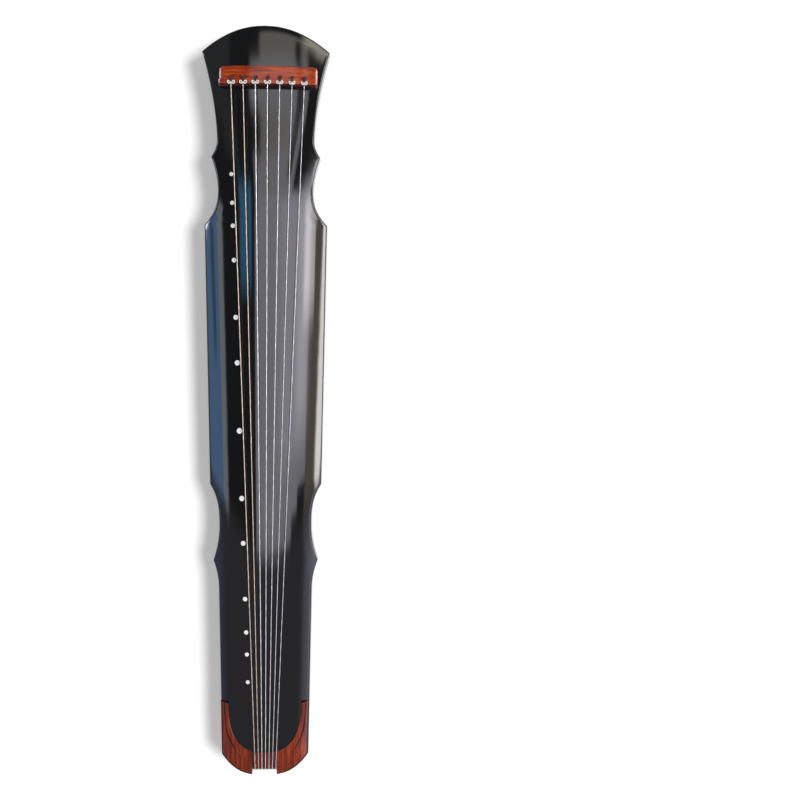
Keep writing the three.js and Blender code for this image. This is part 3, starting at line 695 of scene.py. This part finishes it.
mapped_grid(form, flat_steps + bend_steps, nut_columns, nut_place)
foot = drop_edge(form, [edge for edge in form.edges if edge.is_boundary], bed_z + 0.1)
bmesh.ops.edgeloop_fill(form, edges=foot)
bmesh.ops.remove_doubles(form, verts=form.verts[:], dist=1e-6)
bmesh.ops.recalc_face_normals(form, faces=form.faces[:])
near_top = (nut_top_z - 0.5) / 1000
front_edges = [e for e in form.edges if e.calc_face_angle(0) > 1 and min(v.co.z for v in e.verts) > near_top]
rounded(form, front_edges, 0.7, 3)
for panel in form.faces:
    if panel.calc_center_median().x < spot(nut_end_x + 2.2, 0, 0).x:
        panel.material_index = 1
upper_nut = piece_of("upper_nut", form, nut_wood, lacquer)
even_gloss(upper_nut)
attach(upper_nut, "root")
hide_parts("tail_nut")
profile = [(under_nut_start_x, under_nut_top_z), (under_nut_start_x, under_nut_z + 0.6),
           (under_nut_start_x - 0.6, under_nut_z)]
profile += rounded_turn(nut_end_x + under_nut_round, under_nut_z + under_nut_round, under_nut_round,
                        -math.pi / 2, -math.pi, bend_steps)
profile.append((nut_end_x, under_nut_top_z))
form = bmesh.new()
form.faces.new([form.verts.new(spot(x, -nut_half, z)) for x, z in profile])
grown = bmesh.ops.extrude_face_region(form, geom=form.faces[:])
bmesh.ops.translate(form, vec=(0, 2 * nut_half / 1000, 0), verts=new_verts(grown))
bmesh.ops.recalc_face_normals(form, faces=form.faces[:])
below_nut = piece_of("under_nut", form, nut_wood)
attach(below_nut, "root")
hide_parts("lower_nut")

# Tail crowns: two carved pieces of red wood let into the corners of the face, lacquered black at the rim.
# A groove runs down the middle of each arm and fades out towards the notch for the strings, with painted
# shade in it: its faces take a darker copy of the wood.
crown_tones = ((0.08, 0.008, 0.002), (0.17, 0.019, 0.004), (0.38, 0.055, 0.008))
# Painted shade: darker tones of the crown wood, for the faces inside the groove.
groove_shade_tones = ((0.035, 0.006, 0.004), (0.05, 0.008, 0.005), (0.07, 0.012, 0.006))
crown_wood = red_wood("crown_wood", 0, crown_tones, 0.6)
shaded_groove_wood = red_wood("shaded_groove_wood", 0, groove_shade_tones, 0.3)
crown_gap = 0.3
crown_lift = 0.8
elbow_turn = 0.85
arm_steps = 14
foot_steps = 14
crown_inner_y = 20.1
section = [(0, 0, 0), (0.1, 0, 0.25), (0.25, 0, 0.5), (0.4, 0, 0.5), (0.5, -1.1, 0.35), (0.5, -0.45, -0.9),
           (0.5, 0.45, -0.9), (0.5, 1.1, 0.35), (0.6, 0, 0.5), (0.76, 0, 0.5), (1, 0, 0.1), (1, 0, 0)]
groove_columns = (4, 7)
groove_end_row = 21
border_column = len(section) - 2
border_width = 2.2


def crown_place(side):
    last_turn = math.acos((crown_inner_y / (crown_half + crown_gap)) ** (crown_power / 2))

    def place(row, column):
        if row <= arm_steps:
            way = row / arm_steps
            inner = crown_edge(blend(0.02, elbow_turn, way), crown_gap)
            x = blend(crown_top_x - crown_gap, tail_corner[0], way)
            outer = (x, half_width(x))
        else:
            way = (row - arm_steps) / foot_steps
            inner = crown_edge(blend(elbow_turn, last_turn, way), crown_gap)
            y = blend(tail_corner[1], crown_inner_y, way)
            outer = (tail_x(max(y, notch_half)), y)
        share, aside, lift = section[column]
        share -= 0.8 * share * (1 - share) * math.exp(-((row - arm_steps) / 4.5) ** 2)
        fade = 1 - eased(row, arm_steps * 0.9, groove_end_row)
        width = math.hypot(outer[0] - inner[0], outer[1] - inner[1])
        if aside:
            share += aside * blend(0.35, 1, fade) / width
        if column == border_column:
            share -= border_width / width
        x = blend(inner[0], outer[0], share)
        y = blend(inner[1], outer[1], share)
        return spot(x, side * y, face_z(x, y) + crown_lift + lift * fade)
    return place


for word, side in (("far", 1), ("near", -1)):
    form = bmesh.new()
    spots = mapped_grid(form, arm_steps + foot_steps, len(section) - 1, crown_place(side))
    for panel in form.faces:
        rows = [spots[vert][0] for vert in panel.verts]
        columns = [spots[vert][1] for vert in panel.verts]
        in_groove = min(columns) >= groove_columns[0] and max(columns) <= groove_columns[1]
        # Painted shade: the groove's faces take the darker copy of the wood.
        if in_groove and max(rows) <= groove_end_row:
            panel.material_index = 1
        if min(columns) == border_column:
            panel.material_index = 2
    rim = [edge for edge in form.edges if edge.is_boundary]
    foot = drop_edge(form, rim, bed_z + 0.05)
    bmesh.ops.edgeloop_fill(form, edges=foot)
    bmesh.ops.recalc_face_normals(form, faces=form.faces[:])
    rounded(form, rim, 1.3, 3)
    form.normal_update()
    for panel in form.faces:
        if panel.material_index == 0 and panel.normal.z < 0.7:
            panel.material_index = 2
    crown = piece_of(f"crown_{word}", form, crown_wood, shaded_groove_wood, side_lacquer, angle=40)
    even_gloss(crown)
    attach(crown, "root")
    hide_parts(f"tail_crown_{word}")

# Plates under the tail: the same red wood, let in flush with the back inside a black border.
# A thin bright line shows where their edge meets the lacquer.
plate_tones = ((0.10, 0.008, 0.003), (0.23, 0.026, 0.006), (0.52, 0.120, 0.014))
plate_wood = red_wood("plate_wood", 0, plate_tones, 0.6)
for word, side in (("far", 1), ("near", -1)):
    form = plank(plate_outline(side, 0), back_z - 0.1, plate_top_z)
    rounded(form, [e for e in form.edges if max(v.co.z for v in e.verts) < back_z / 1000], 0.35, 2)
    plate = piece_of(f"back_plate_{word}", form, plate_wood)
    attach(plate, "root")
    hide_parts(f"tail_back_plate_{word}")

# Studs: thirteen thin discs of white shell let into the face beside the first string.
# They mark the places where the strings sound harmonics, and the middle one is the largest.
stud_shares = [1 / 8, 1 / 6, 1 / 5, 1 / 4, 1 / 3, 2 / 5, 1 / 2, 3 / 5, 2 / 3, 3 / 4, 4 / 5, 5 / 6, 7 / 8]
sounding_length = 1105
stud_ends_y = (58.6, 23)
stud_diameters = (5.6, 9.4)
stud_depth = 1.5


def shell():
    finish, tree, shader = new_finish("white_shell", Roughness=0.18, Coat_Weight=0.5)
    layers = node(tree, "TexNoise", Vector=on_piece(tree), Scale=420, Detail=3, Distortion=2.5)
    colour = toned(tree, layers.outputs["Fac"], (0.3, (0.86, 0.89, 0.87)), (0.6, (0.99, 0.98, 0.95)))
    tree.links.new(colour, shader.inputs["Base Color"])
    return finish


white_shell = shell()
for index, share in enumerate(stud_shares):
    radius = blend(*stud_diameters, 1 - 2 * abs(share - 0.5)) / 2
    x, y = -sounding_length * share, blend(*stud_ends_y, share)
    line = [(0, -stud_depth), (radius - 0.05, -stud_depth), (radius, -0.05), (radius - 0.15, 0.10),
            (radius * 0.7, 0.2), (0, 0.26)]
    form = turned(-bridge_edge_x, 0, line, 28)
    slope = Vector((0, 2, face_z(x, y + 1) - face_z(x, y - 1))).normalized()
    along = Vector((2, 0, face_z(x + 1, y) - face_z(x - 1, y))).normalized()
    lean = Vector((0, 0, 1)).rotation_difference(along.cross(slope)).to_matrix()
    bmesh.ops.rotate(form, cent=(0, 0, 0), matrix=lean, verts=form.verts[:])
    bmesh.ops.translate(form, vec=spot(x, y, face_z(x, y)), verts=form.verts[:])
    stud = piece_of(f"shell_stud_{index + 1}", form, white_shell)
    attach(stud, "root")
    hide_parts(f"stud_{index + 1}")

# Head pads: two tapered blocks of lacquered wood under the corners of the head.
# They are as high as the feet, so that the body lies level.
pad_inner_x = 43
pad_middle_x = 51
pad_inner_y = 78
pad_foot_share = 0.72
pad_top_share = 0.95
for word, side in (("far", 1), ("near", -1)):
    points = [(pad_inner_x, pad_inner_y)] + [(x, half_width(x)) for x in (pad_inner_x, pad_middle_x)]
    points += [head_corner] + [(head_x(y / head_corner[1]), y) for y in (97, 91, 84, pad_inner_y)]
    form = plank([(x, side * y) for x, y in points], 0, back_z - 0.3)
    middle = spot(57, side * 86, 0)
    for vert in form.verts:
        middle.z = vert.co.z
        vert.co = middle.lerp(vert.co, pad_foot_share if vert.co.z < 0.01 else pad_top_share)
    edges = [e for e in form.edges if max(v.co.z for v in e.verts) < 0.03 or e.calc_face_angle(0) > 0.6]
    rounded(form, edges, 1.3, 3)
    pad = piece_of(f"pad_{word}", form, side_lacquer)
    even_gloss(pad)
    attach(pad, "root")
    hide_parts(f"head_pad_{word}")

# Feet: two turned pieces of dark red wood, with their tenons up in the sockets.
# The strings are wound on the narrow neck, and the wide cap stands on the ground.
foot_tones = ((0.060, 0.010, 0.008), (0.11, 0.018, 0.013), (0.18, 0.034, 0.020))
end_tones = ((0.030, 0.006, 0.005), (0.055, 0.010, 0.008), (0.085, 0.018, 0.012))
foot_wood = red_wood("foot_wood", 2, foot_tones, 0.6)
end_grain = red_wood("end_grain", 2, end_tones, 0.6)
foot_line = [(0, 0), (11.4, 0), (12.0, 0.2), (14.1, 2.3), (14.6, 3.0), (14.8, 3.9), (14.8, 5.2), (14.5, 6.4),
             (13.6, 7.8), (12.2, 9.4), (10.9, 11.6), (10.1, 14), (9.65, 16.4), (9.6, 17.5), (9.6, 39.7),
             (7, 39.7), (7, 60.2), (0, 60.2)]
for word, side in (("far", 1), ("near", -1)):
    form = turned(foot_place[0], side * foot_place[1], foot_line, 48)
    for panel in form.faces:
        if panel.normal.z < -0.98 and panel.calc_center_median().z < 0.001:
            panel.material_index = 1
    foot = piece_of(f"foot_{word}", form, foot_wood, end_grain)
    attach(foot, "root")
    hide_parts(f"goose_foot_{word}")

# Peg plate: a thin plate of red wood in the pool under the head, which the pegs bear against.
pool_wood = red_wood("pool_wood", 1, ((0.09, 0.014, 0.008), (0.16, 0.028, 0.014), (0.24, 0.048, 0.02)))
pool_gap = 0.1
form = round_rect(cord_hole_x - pool_half[0] + pool_gap, cord_hole_x + pool_half[0] - pool_gap,
                  pool_half[1] - pool_gap, pool_corner - pool_gap, 43.7, pool_top_z - 0.3)
plate = piece_of("pool_plate", form, pool_wood)
carved(plate, cord_bores(cut_low, cut_high + 5))
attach(plate, "root")
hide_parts("peg_plate")

# Pegs: seven bored bobbins of dark, glossy wood that hang on the tuning cords.
# Turning one twists its cord, which shortens it and tightens the string.
peg_tones = ((0.09, 0.008, 0.005), (0.19, 0.017, 0.010), (0.30, 0.035, 0.016))
peg_wood = red_wood("peg_wood_polished", 2, peg_tones, 0.5)
peg_line = [(2.3, 17.0), (4.9, 17.0), (5.6, 17.25), (6.3, 18.0), (6.85, 19.2), (7.2, 21.0), (7.4, 24.0),
            (7.4, 26.3), (7.2, 30.0), (6.8, 33.5), (6.35, 36.2), (6.05, 38.0), (5.95, 38.7), (6.3, 39.1),
            (7.0, 39.6), (7.2, 40.3), (7.2, 42.9), (6.9, 43.3), (2.3, 43.35), (2.3, 17.0)]
for number in strings:
    peg = piece_of(f"bobbin_{number}", turned(cord_hole_x, bridge_y(number), peg_line, 32), peg_wood)
    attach(peg, f"tuning_peg_{number}")
    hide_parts(f"peg_{number}")

# Tuning cords: dark two-ply cord, doubled over the bridge, down through the head and its peg.
# Below the pegs each free tail bends to the ground, gathers towards the middle and ends in a knot.
loop_diameter = 3.6
loop_lay = 11
tail_diameter = 5.6
tail_lay = 18
loop_start_x = 5.9
tail_bend = 11.5
tail_reaches = (65, 76)
tail_end_middle_y = -4
tail_end_spacing = 7.1
peg_inner_z = 17.3
peg_exit_z = 16.7
lay_steps = 14


def cord_fibre():
    finish, tree, shader = new_finish("cord_fibre_twisted", Roughness=0.62, Sheen_Weight=0.12,
                                      Specular_IOR_Level=0.25)
    places = node(tree, "UVMap")
    slant = node(tree, "Mapping", Vector=places.outputs["UV"], Rotation=(0, 0, math.radians(32)))
    strands = node(tree, "TexWave", Vector=slant.outputs["Vector"], Scale=0.55, Distortion=1.2, Detail=2,
                   Detail_Scale=2)
    colour = toned(tree, strands.outputs["Fac"], (0, (0.012, 0.007, 0.009)), (1, (0.070, 0.038, 0.044)))
    tree.links.new(colour, shader.inputs["Base Color"])
    raised(tree, shader, strands.outputs["Fac"], 0.6, 0.0003)
    return finish


def resampled(points, step):
    """Points at even steps along a route, both ends among them."""
    gone = [0]
    for first, last in zip(points, points[1:]):
        gone.append(gone[-1] + (last - first).length)
    count = max(2, round(gone[-1] / step))
    even, at = [], 0
    for index in range(count + 1):
        want = gone[-1] * index / count
        while at < len(points) - 2 and gone[at + 1] < want:
            at += 1
        share = (want - gone[at]) / (gone[at + 1] - gone[at])
        even.append(points[at].lerp(points[at + 1], share))
    return even


def tube_piece(name, runs, radius, finish, sides=3, closed=False):
    """A piece made of round tubes along these runs of points, with UVs in millimetres."""
    line = bpy.data.curves.new(name, "CURVE")
    line.dimensions = "3D"
    line.bevel_depth = radius / 1000
    line.bevel_resolution = sides
    line.use_fill_caps = True
    for run in runs:
        spline = line.splines.new("POLY")
        spline.points.add(len(run) - 1)
        spline.use_cyclic_u = closed
        for point, place in zip(spline.points, run):
            point.co = (*place, 1)
    holder = bpy.data.objects.new(name, line)
    scene.collection.objects.link(holder)
    shown = holder.evaluated_get(bpy.context.evaluated_depsgraph_get())
    mesh = bpy.data.meshes.new_from_object(shown)
    bpy.data.objects.remove(holder)
    length = sum((b - a).length for a, b in zip(runs[0], runs[0][1:])) * 1000
    for place in mesh.uv_layers[0].uv:
        place.vector = (place.vector.x * length, place.vector.y * 2 * math.pi * radius)
    mesh.shade_smooth()
    mesh.materials.append(finish)
    piece = bpy.data.objects.new(name, mesh)
    scene.collection.objects.link(piece)
    return piece


def plies_of(route, diameter, lay):
    """The middle lines of two plies laid round a route."""
    even = resampled(route, lay / lay_steps / 1000)
    ahead = (even[1] - even[0]).normalized()
    side = ahead.orthogonal().normalized()
    plies = ([], [])
    for index, point in enumerate(even):
        last = min(index + 1, len(even) - 1)
        tangent = (even[last] - even[max(index - 1, 0)]).normalized()
        side = (side - tangent * side.dot(tangent)).normalized()
        up = tangent.cross(side)
        turn = 2 * math.pi * index / lay_steps
        for ply, start in zip(plies, (0, math.pi)):
            out = side * math.cos(turn + start) + up * math.sin(turn + start)
            ply.append(point + out * diameter * 0.235 / 1000)
    return plies


def twisted(name, route, diameter, lay):
    return tube_piece(name, plies_of(route, diameter, lay), diameter * 0.275, fibre)


fibre = cord_fibre()
for number in strings:
    y = bridge_y(number)
    top_z = face_z(0, y) + bridge_height
    lift = loop_diameter / 2 + 0.6
    route = [(loop_start_x, top_z + lift)]
    route += rounded_turn(bridge_depth, top_z, lift, math.pi / 2, 0)
    route += [(cord_hole_x, z) for z in (top_z - 2 * loop_diameter, top_z - 3 * loop_diameter, peg_inner_z)]
    points = [spot(x, y, z) for x, z in route]
    loop = twisted(f"cord_loop_{number}", points, loop_diameter, loop_lay)
    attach(loop, "root")
    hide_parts(f"tuning_loop_{number}")

    lie_z = tail_diameter / 2 + 0.3
    end_y = tail_end_middle_y + tail_end_spacing * (middle_string - number)
    route = [spot(cord_hole_x, y, peg_exit_z)]
    for x, z in rounded_turn(tail_bend, lie_z + tail_bend, tail_bend, math.pi, 1.5 * math.pi, 8):
        route.append(spot(cord_hole_x + x, y, z))
    for step in range(1, 15):
        along = blend(tail_bend, tail_reaches[number % 2], step / 14)
        across = blend(y, end_y, eased(along, tail_bend, tail_reaches[0]))
        route.append(spot(cord_hole_x + along, across, lie_z))
    tail = twisted(f"cord_end_{number}", route, tail_diameter, tail_lay)
    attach(tail, "root")
    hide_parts(f"cord_tail_{number}")

    end = route[-1]
    loops = []
    for step in range(48):
        turn = 2 * math.pi * step / 48
        out = (2.05 + 0.75 * math.cos(3 * turn)) / 1000
        height = (4.3 + 1.7 * math.sin(3 * turn)) / 1000
        loops.append(Vector((end.x + out * math.cos(2 * turn), end.y + out * math.sin(2 * turn), height)))
    knot = tube_piece(f"cord_knot_{number}", [loops], 1.45, fibre, closed=True)
    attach(knot, "root")
    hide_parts(f"cord_tail_{number}")
    length = sum((b - a).length for a, b in zip(route, route[1:]))
    tuple(route[0])
    [tuple(point) for point in route]

# Strings: seven wound strings, the two thickest coppery tan and the others silver.
# Each starts in a knot on the bridge, runs over both nuts and is wound twice round the neck of a foot.
tan_strings = 2
far_foot_strings = 4
foot_neck_radius = 9.6
string_clearance = 0.3
winding_gap = 0.42
winding_steps = 24
nut_middle_y = -2
nut_spacing = 5.7
far_under_y = 4
near_under_y = -7.7
under_spacing = 2.3
string_diameters = (1.4, 0.8)
bow_x = 3.8
wing_reaches = (5.5, 4.4)


def wound_string(name, dark, light):
    """A fine winding of wire or silk round the core, seen as close rings."""
    finish, tree, shader = new_finish(name, Metallic=0.5, Roughness=0.4)
    rings = node(tree, "TexWave", Vector=node(tree, "UVMap").outputs["UV"], Scale=0.9)
    colour = toned(tree, rings.outputs["Fac"], (0, dark), (1, light))
    tree.links.new(colour, shader.inputs["Base Color"])
    raised(tree, shader, rings.outputs["Fac"], 0.12, 0.00005)
    return finish


def knot_silk():
    finish, tree, shader = new_finish("knot_silk", Roughness=0.5, Sheen_Weight=0.2)
    threads = node(tree, "TexWave", Vector=node(tree, "UVMap").outputs["UV"], Scale=0.5, Distortion=0.6)
    colour = toned(tree, threads.outputs["Fac"], (0, (0.80, 0.76, 0.70)), (1, (0.97, 0.95, 0.91)))
    tree.links.new(colour, shader.inputs["Base Color"])
    return finish


tan_string = wound_string("tan_winding", (0.51, 0.41, 0.34), (0.65, 0.53, 0.45))
silver_string = wound_string("silver_winding", (0.66, 0.66, 0.70), (0.84, 0.83, 0.87))
knot_finish = knot_silk()


def string_diameter(number):
    return blend(*string_diameters, (number - 1) / 6)


def winding_top(number):
    """Height of the first turn of a string on its foot, below the strings wound before it."""
    first = 1 if number <= far_foot_strings else far_foot_strings + 1
    z = back_z - 0.6 - string_diameter(first) / 2
    for above in range(first, number):
        z -= 2 * (string_diameter(above) + winding_gap)
        z -= (string_diameter(above) + string_diameter(above + 1)) / 2 + winding_gap
    return z


def free_end(start, before, side):
    """The last stretch of a string: it leaves the foot in a tight bend and ends in a curl."""
    ahead = (start - before).normalized()
    outward = Vector((ahead.y, -ahead.x, 0)) * side
    points = []
    for step in range(1, 27):
        turn = math.radians(20 * min(step, 7))
        place = start + (ahead * math.sin(turn) + outward * (1 - math.cos(turn))) * 0.0015
        back = ahead * math.cos(turn) + outward * math.sin(turn)
        aside = Vector((back.y, -back.x, 0)) * side
        curl = 0.45 * max(step - 15, 0)
        place += back * (2.5 * max(min(step, 15) - 7, 0) + 2.2 * math.sin(curl)) / 1000
        place += aside * 2.2 * (1 - math.cos(curl)) / 1000
        place.z -= 0.00012 * step
        points.append(place)
    return points


for number in strings:
    diameter = string_diameter(number)
    clear = string_clearance + diameter / 2
    y = bridge_y(number)
    z = face_z(0, y) + bridge_height + clear
    route = [spot(2.5, y, z), spot(0, y, z)]
    nut_y = nut_middle_y + nut_spacing * (middle_string - number)
    for x, z_turn in rounded_turn(nut_end_x + nut_round, nut_top_z - nut_round, nut_round + clear,
                                  math.pi / 2, math.pi):
        route.append(spot(x, nut_y, z_turn))
    side = 1 if number <= far_foot_strings else -1
    under_y = (far_under_y if side == 1 else near_under_y) + under_spacing * (far_foot_strings - number)
    for x, z_turn in rounded_turn(nut_end_x + under_nut_round, under_nut_z + under_nut_round,
                                  under_nut_round + clear, math.pi, 1.5 * math.pi):
        route.append(spot(x, under_y, z_turn))
    ring = foot_neck_radius + clear
    foot_y = side * foot_place[1]
    away_x, away_y = nut_end_x + under_nut_round - foot_place[0], under_y - foot_y
    touch = math.atan2(away_y, away_x) + side * math.acos(ring / math.hypot(away_x, away_y))
    for step in range(2 * winding_steps + 1):
        turn = touch + side * 2 * math.pi * step / winding_steps
        z_turn = winding_top(number) - (diameter + winding_gap) * step / winding_steps
        route.append(spot(foot_place[0] + ring * math.cos(turn), foot_y + ring * math.sin(turn), z_turn))
    if number in (far_foot_strings, strings[-1]):
        route += free_end(route[-1], route[-2], side)
    winding = tan_string if number <= tan_strings else silver_string
    string = tube_piece(f"wound_string_{number}", [route], diameter / 2, winding, 2)
    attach(string, "root")
    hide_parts(f"string_{number}")

    bow = []
    wing_reach = blend(*wing_reaches, (number - 1) / 6)
    for step in range(56):
        turn = 2 * math.pi * step / 56
        wing = math.sin(turn)
        along = bow_x + 2 * math.sin(2 * turn) + 2 * abs(wing)
        bow.append(spot(along, y + wing_reach * wing, z + 1.2 + 0.8 * math.cos(3 * turn)))
    bow_knot = tube_piece(f"bow_knot_{number}", [bow], 0.9, knot_finish, closed=True)
    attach(bow_knot, "root")
    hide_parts(f"string_{number}")

# Floor: plain and pale, white to the camera, and it keeps the soft shadow beside the instrument.
# It fades out round the instrument. It can't be seen from underneath, and it lets the fill lamp through,
# so that the back shows there.
floor_reach = (1.3, 2.1)
seen_glow = 0.28
mirrored_glow = 0.9


def reckoned(tree, operation, *values):
    """The outcome of one step of arithmetic."""
    return node(tree, "Math", *values, operation=operation).outputs[0]


def floor_finish():
    finish, tree, shader = new_finish("pale_floor", Base_Color=(0.82, 0.82, 0.82, 1), Roughness=0.9,
                                      Specular_IOR_Level=0)
    rays = node(tree, "LightPath").outputs
    mirrored_level = reckoned(tree, "MULTIPLY", rays["Is Glossy Ray"], mirrored_glow)
    level = reckoned(tree, "MULTIPLY_ADD", rays["Is Camera Ray"], seen_glow, mirrored_level)
    glow = node(tree, "Emission", Strength=level)
    both = node(tree, "AddShader", shader.outputs[0], glow.outputs[0])
    places = node(tree, "TexCoord")
    away = node(tree, "VectorMath", places.outputs["Object"], operation="LENGTH")
    fade = node(tree, "MapRange", Value=away.outputs["Value"], From_Min=floor_reach[0],
                From_Max=floor_reach[1], interpolation_type="SMOOTHSTEP")
    under = node(tree, "NewGeometry")
    open_below = reckoned(tree, "MAXIMUM", under.outputs["Backfacing"], rays["Is Shadow Ray"])
    gone = reckoned(tree, "MAXIMUM", fade.outputs["Result"], open_below)
    clear = node(tree, "BsdfTransparent")
    choose = node(tree, "MixShader", gone, both.outputs[0], clear.outputs[0])
    tree.links.new(choose.outputs[0], tree.nodes["Material Output"].inputs["Surface"])
    return finish


form = bmesh.new()
bmesh.ops.create_grid(form, x_segments=1, y_segments=1, size=2.5)
ground = piece_of("floor", form, floor_finish())

# Room and lamps: the room is plain and pale, and it is white to the camera.
# The polished lacquer mirrors what a photographer's studio hangs over it: soft panels, given by how far they
# lean to the far side and to the head, with a cool window on the far side and white card on the near one.
panels = [
    ((-0.60, 0.215), (-0.163, 0.185), (0.03, 0.02), (3.1, 3.05, 3.4)),
    ((-0.46, 0.215), (-0.186, -0.163), (0.03, 0.02), (3.1, 3.05, 3.4)),
    ((-0.36, 0.215), (-0.207, -0.186), (0.03, 0.02), (2.8, 2.75, 3.0)),
    ((-0.28, 0.215), (0.185, 0.252), (0.04, 0.02), (2.7, 2.6, 2.7)),
    ((-0.235, -0.185), (0.215, 0.244), (0.02, 0.01), (-2.3, -2.2, -2.3)),
    ((-0.27, 0.125), (0.252, 0.285), (0.04, 0.02), (2.0, 1.95, 1.7)),
    ((-0.70, -0.25), (0.268, 0.33), (0.10, 0.012), (5.5, 5.3, 4.4)),
    ((-0.215, -0.165), (0.246, 0.270), (0.04, 0.012), (-1.9, -1.85, -1.7)),
    ((-0.60, -0.14), (-0.13, 0.18), (0.24, 0.05), (1.4, 1.35, 1.5)),
    ((-0.60, -0.40), (-0.10, 0.17), (0.14, 0.08), (2.6, 2.5, 2.5)),
    ((-0.69, -0.50), (0.00, 0.17), (0.07, 0.07), (7.0, 6.8, 6.8)),
    ((0.27, 0.45), (0.03, 0.215), (0.04, 0.04), (0.35, 1.5, 2.7)),
    ((0.40, 0.95), (0.236, 0.36), (0.06, 0.01), (0.24, 0.25, 0.25)),
    ((0.78, 0.90), (-0.215, 0.18), (0.05, 0.03), (2.3, 2.6, 2.8)),
    ((0.90, 1.35), (-0.215, 0.18), (0.08, 0.03), (1.0, 2.0, 3.7)),
    ((1.02, 1.09), (-0.05, 0.16), (0.05, 0.06), (-0.6, -1.2, -2.2)),
    ((1.35, 1.80), (-0.215, 0.18), (0.10, 0.03), (0.8, 1.1, 1.6)),
    ((1.10, 1.40), (0.12, 0.19), (0.04, 0.03), (18, 18.5, 19)),
    ((-1.60, -0.82), (-0.20, 0.20), (0.05, 0.04), (15, 14.5, 14)),
    ((-2.80, -1.60), (-0.30, 0.30), (0.05, 0.10), (8, 8, 8)),
    ((-0.84, -0.60), (-0.20, 0.15), (0.06, 0.05), (1.3, 1.1, 0.9)),
    ((-1.60, 1.60), (-1.20, -0.205), (0.05, 0.04), (0.28, 0.26, 0.30)),
    ((1.00, 1.70), (-0.60, -0.21), (0.24, 0.03), (0.15, 0.3, 0.6)),
    ((-1.70, -0.72), (-0.60, -0.21), (0.40, 0.03), (2.2, 2.3, 2.8)),
    ((1.25, 1.85), (0.34, 0.52), (0.10, 0.06), (15, 19, 26)),
    ((-1.40, -0.85), (0.27, 0.46), (0.10, 0.06), (25, 24, 24)),
]

world = bpy.data.worlds.new("room")
scene.world = world
world.use_nodes = True
room = world.node_tree


def between(value, ends, soft):
    """One between the two ends and nothing outside them, with soft edges."""
    sides = []
    for end, levels in zip(ends, ((0, 1), (1, 0))):
        edge = node(room, "MapRange", Value=value, From_Min=end - soft / 2, From_Max=end + soft / 2,
                    To_Min=levels[0], To_Max=levels[1], interpolation_type="SMOOTHSTEP")
        sides.append(edge.outputs["Result"])
    return reckoned(room, "MULTIPLY", *sides)


places = node(room, "TexCoord")
parts = node(room, "SeparateXYZ", Vector=places.outputs["Generated"]).outputs
far_lean = reckoned(room, "DIVIDE", parts["Y"], parts["Z"])
head_lean = reckoned(room, "DIVIDE", parts["X"], parts["Z"])
above = reckoned(room, "GREATER_THAN", parts["Z"], 0.02)
horizon = node(room, "MapRange", Value=parts["Z"], From_Min=0.25, From_Max=0.58, To_Min=0.9, To_Max=0.11,
               interpolation_type="SMOOTHSTEP").outputs["Result"]
mirrored = node(room, "CombineXYZ", horizon, horizon, horizon).outputs[0]
for far_ends, head_ends, (far_soft, head_soft), light in panels:
    inside = reckoned(room, "MULTIPLY", between(far_lean, far_ends, far_soft),
                      between(head_lean, head_ends, head_soft))
    inside = reckoned(room, "MULTIPLY", inside, above)
    shine = node(room, "VectorMath", light, operation="SCALE", Scale=inside)
    mirrored = node(room, "VectorMath", mirrored, shine.outputs["Vector"], operation="ADD").outputs["Vector"]

rays = node(room, "LightPath").outputs
seen = reckoned(room, "MAXIMUM", rays["Is Camera Ray"], rays["Is Transmission Ray"])
soft_light = node(room, "Mix", data_type="RGBA", Factor=rays["Is Glossy Ray"], A=(0.315, 0.315, 0.32, 1),
                  B=mirrored)
choice = node(room, "Mix", data_type="RGBA", Factor=seen, A=soft_light.outputs["Result"], B=(1, 1, 1, 1))
room.links.new(choice.outputs["Result"], room.nodes["Background"].inputs["Color"])

for name, energy, spread, lean in (("key_lamp", 2.45, 17.5, 28.5), ("back_fill", 1.5, 40, 160)):
    lamp_light = bpy.data.lights.new(name, "SUN")
    lamp_light.energy = energy
    lamp_light.angle = math.radians(spread)
    lamp = bpy.data.objects.new(name, lamp_light)
    lamp.rotation_euler = (math.radians(lean), 0, 0)
    lamp.visible_glossy = False
    scene.collection.objects.link(lamp)
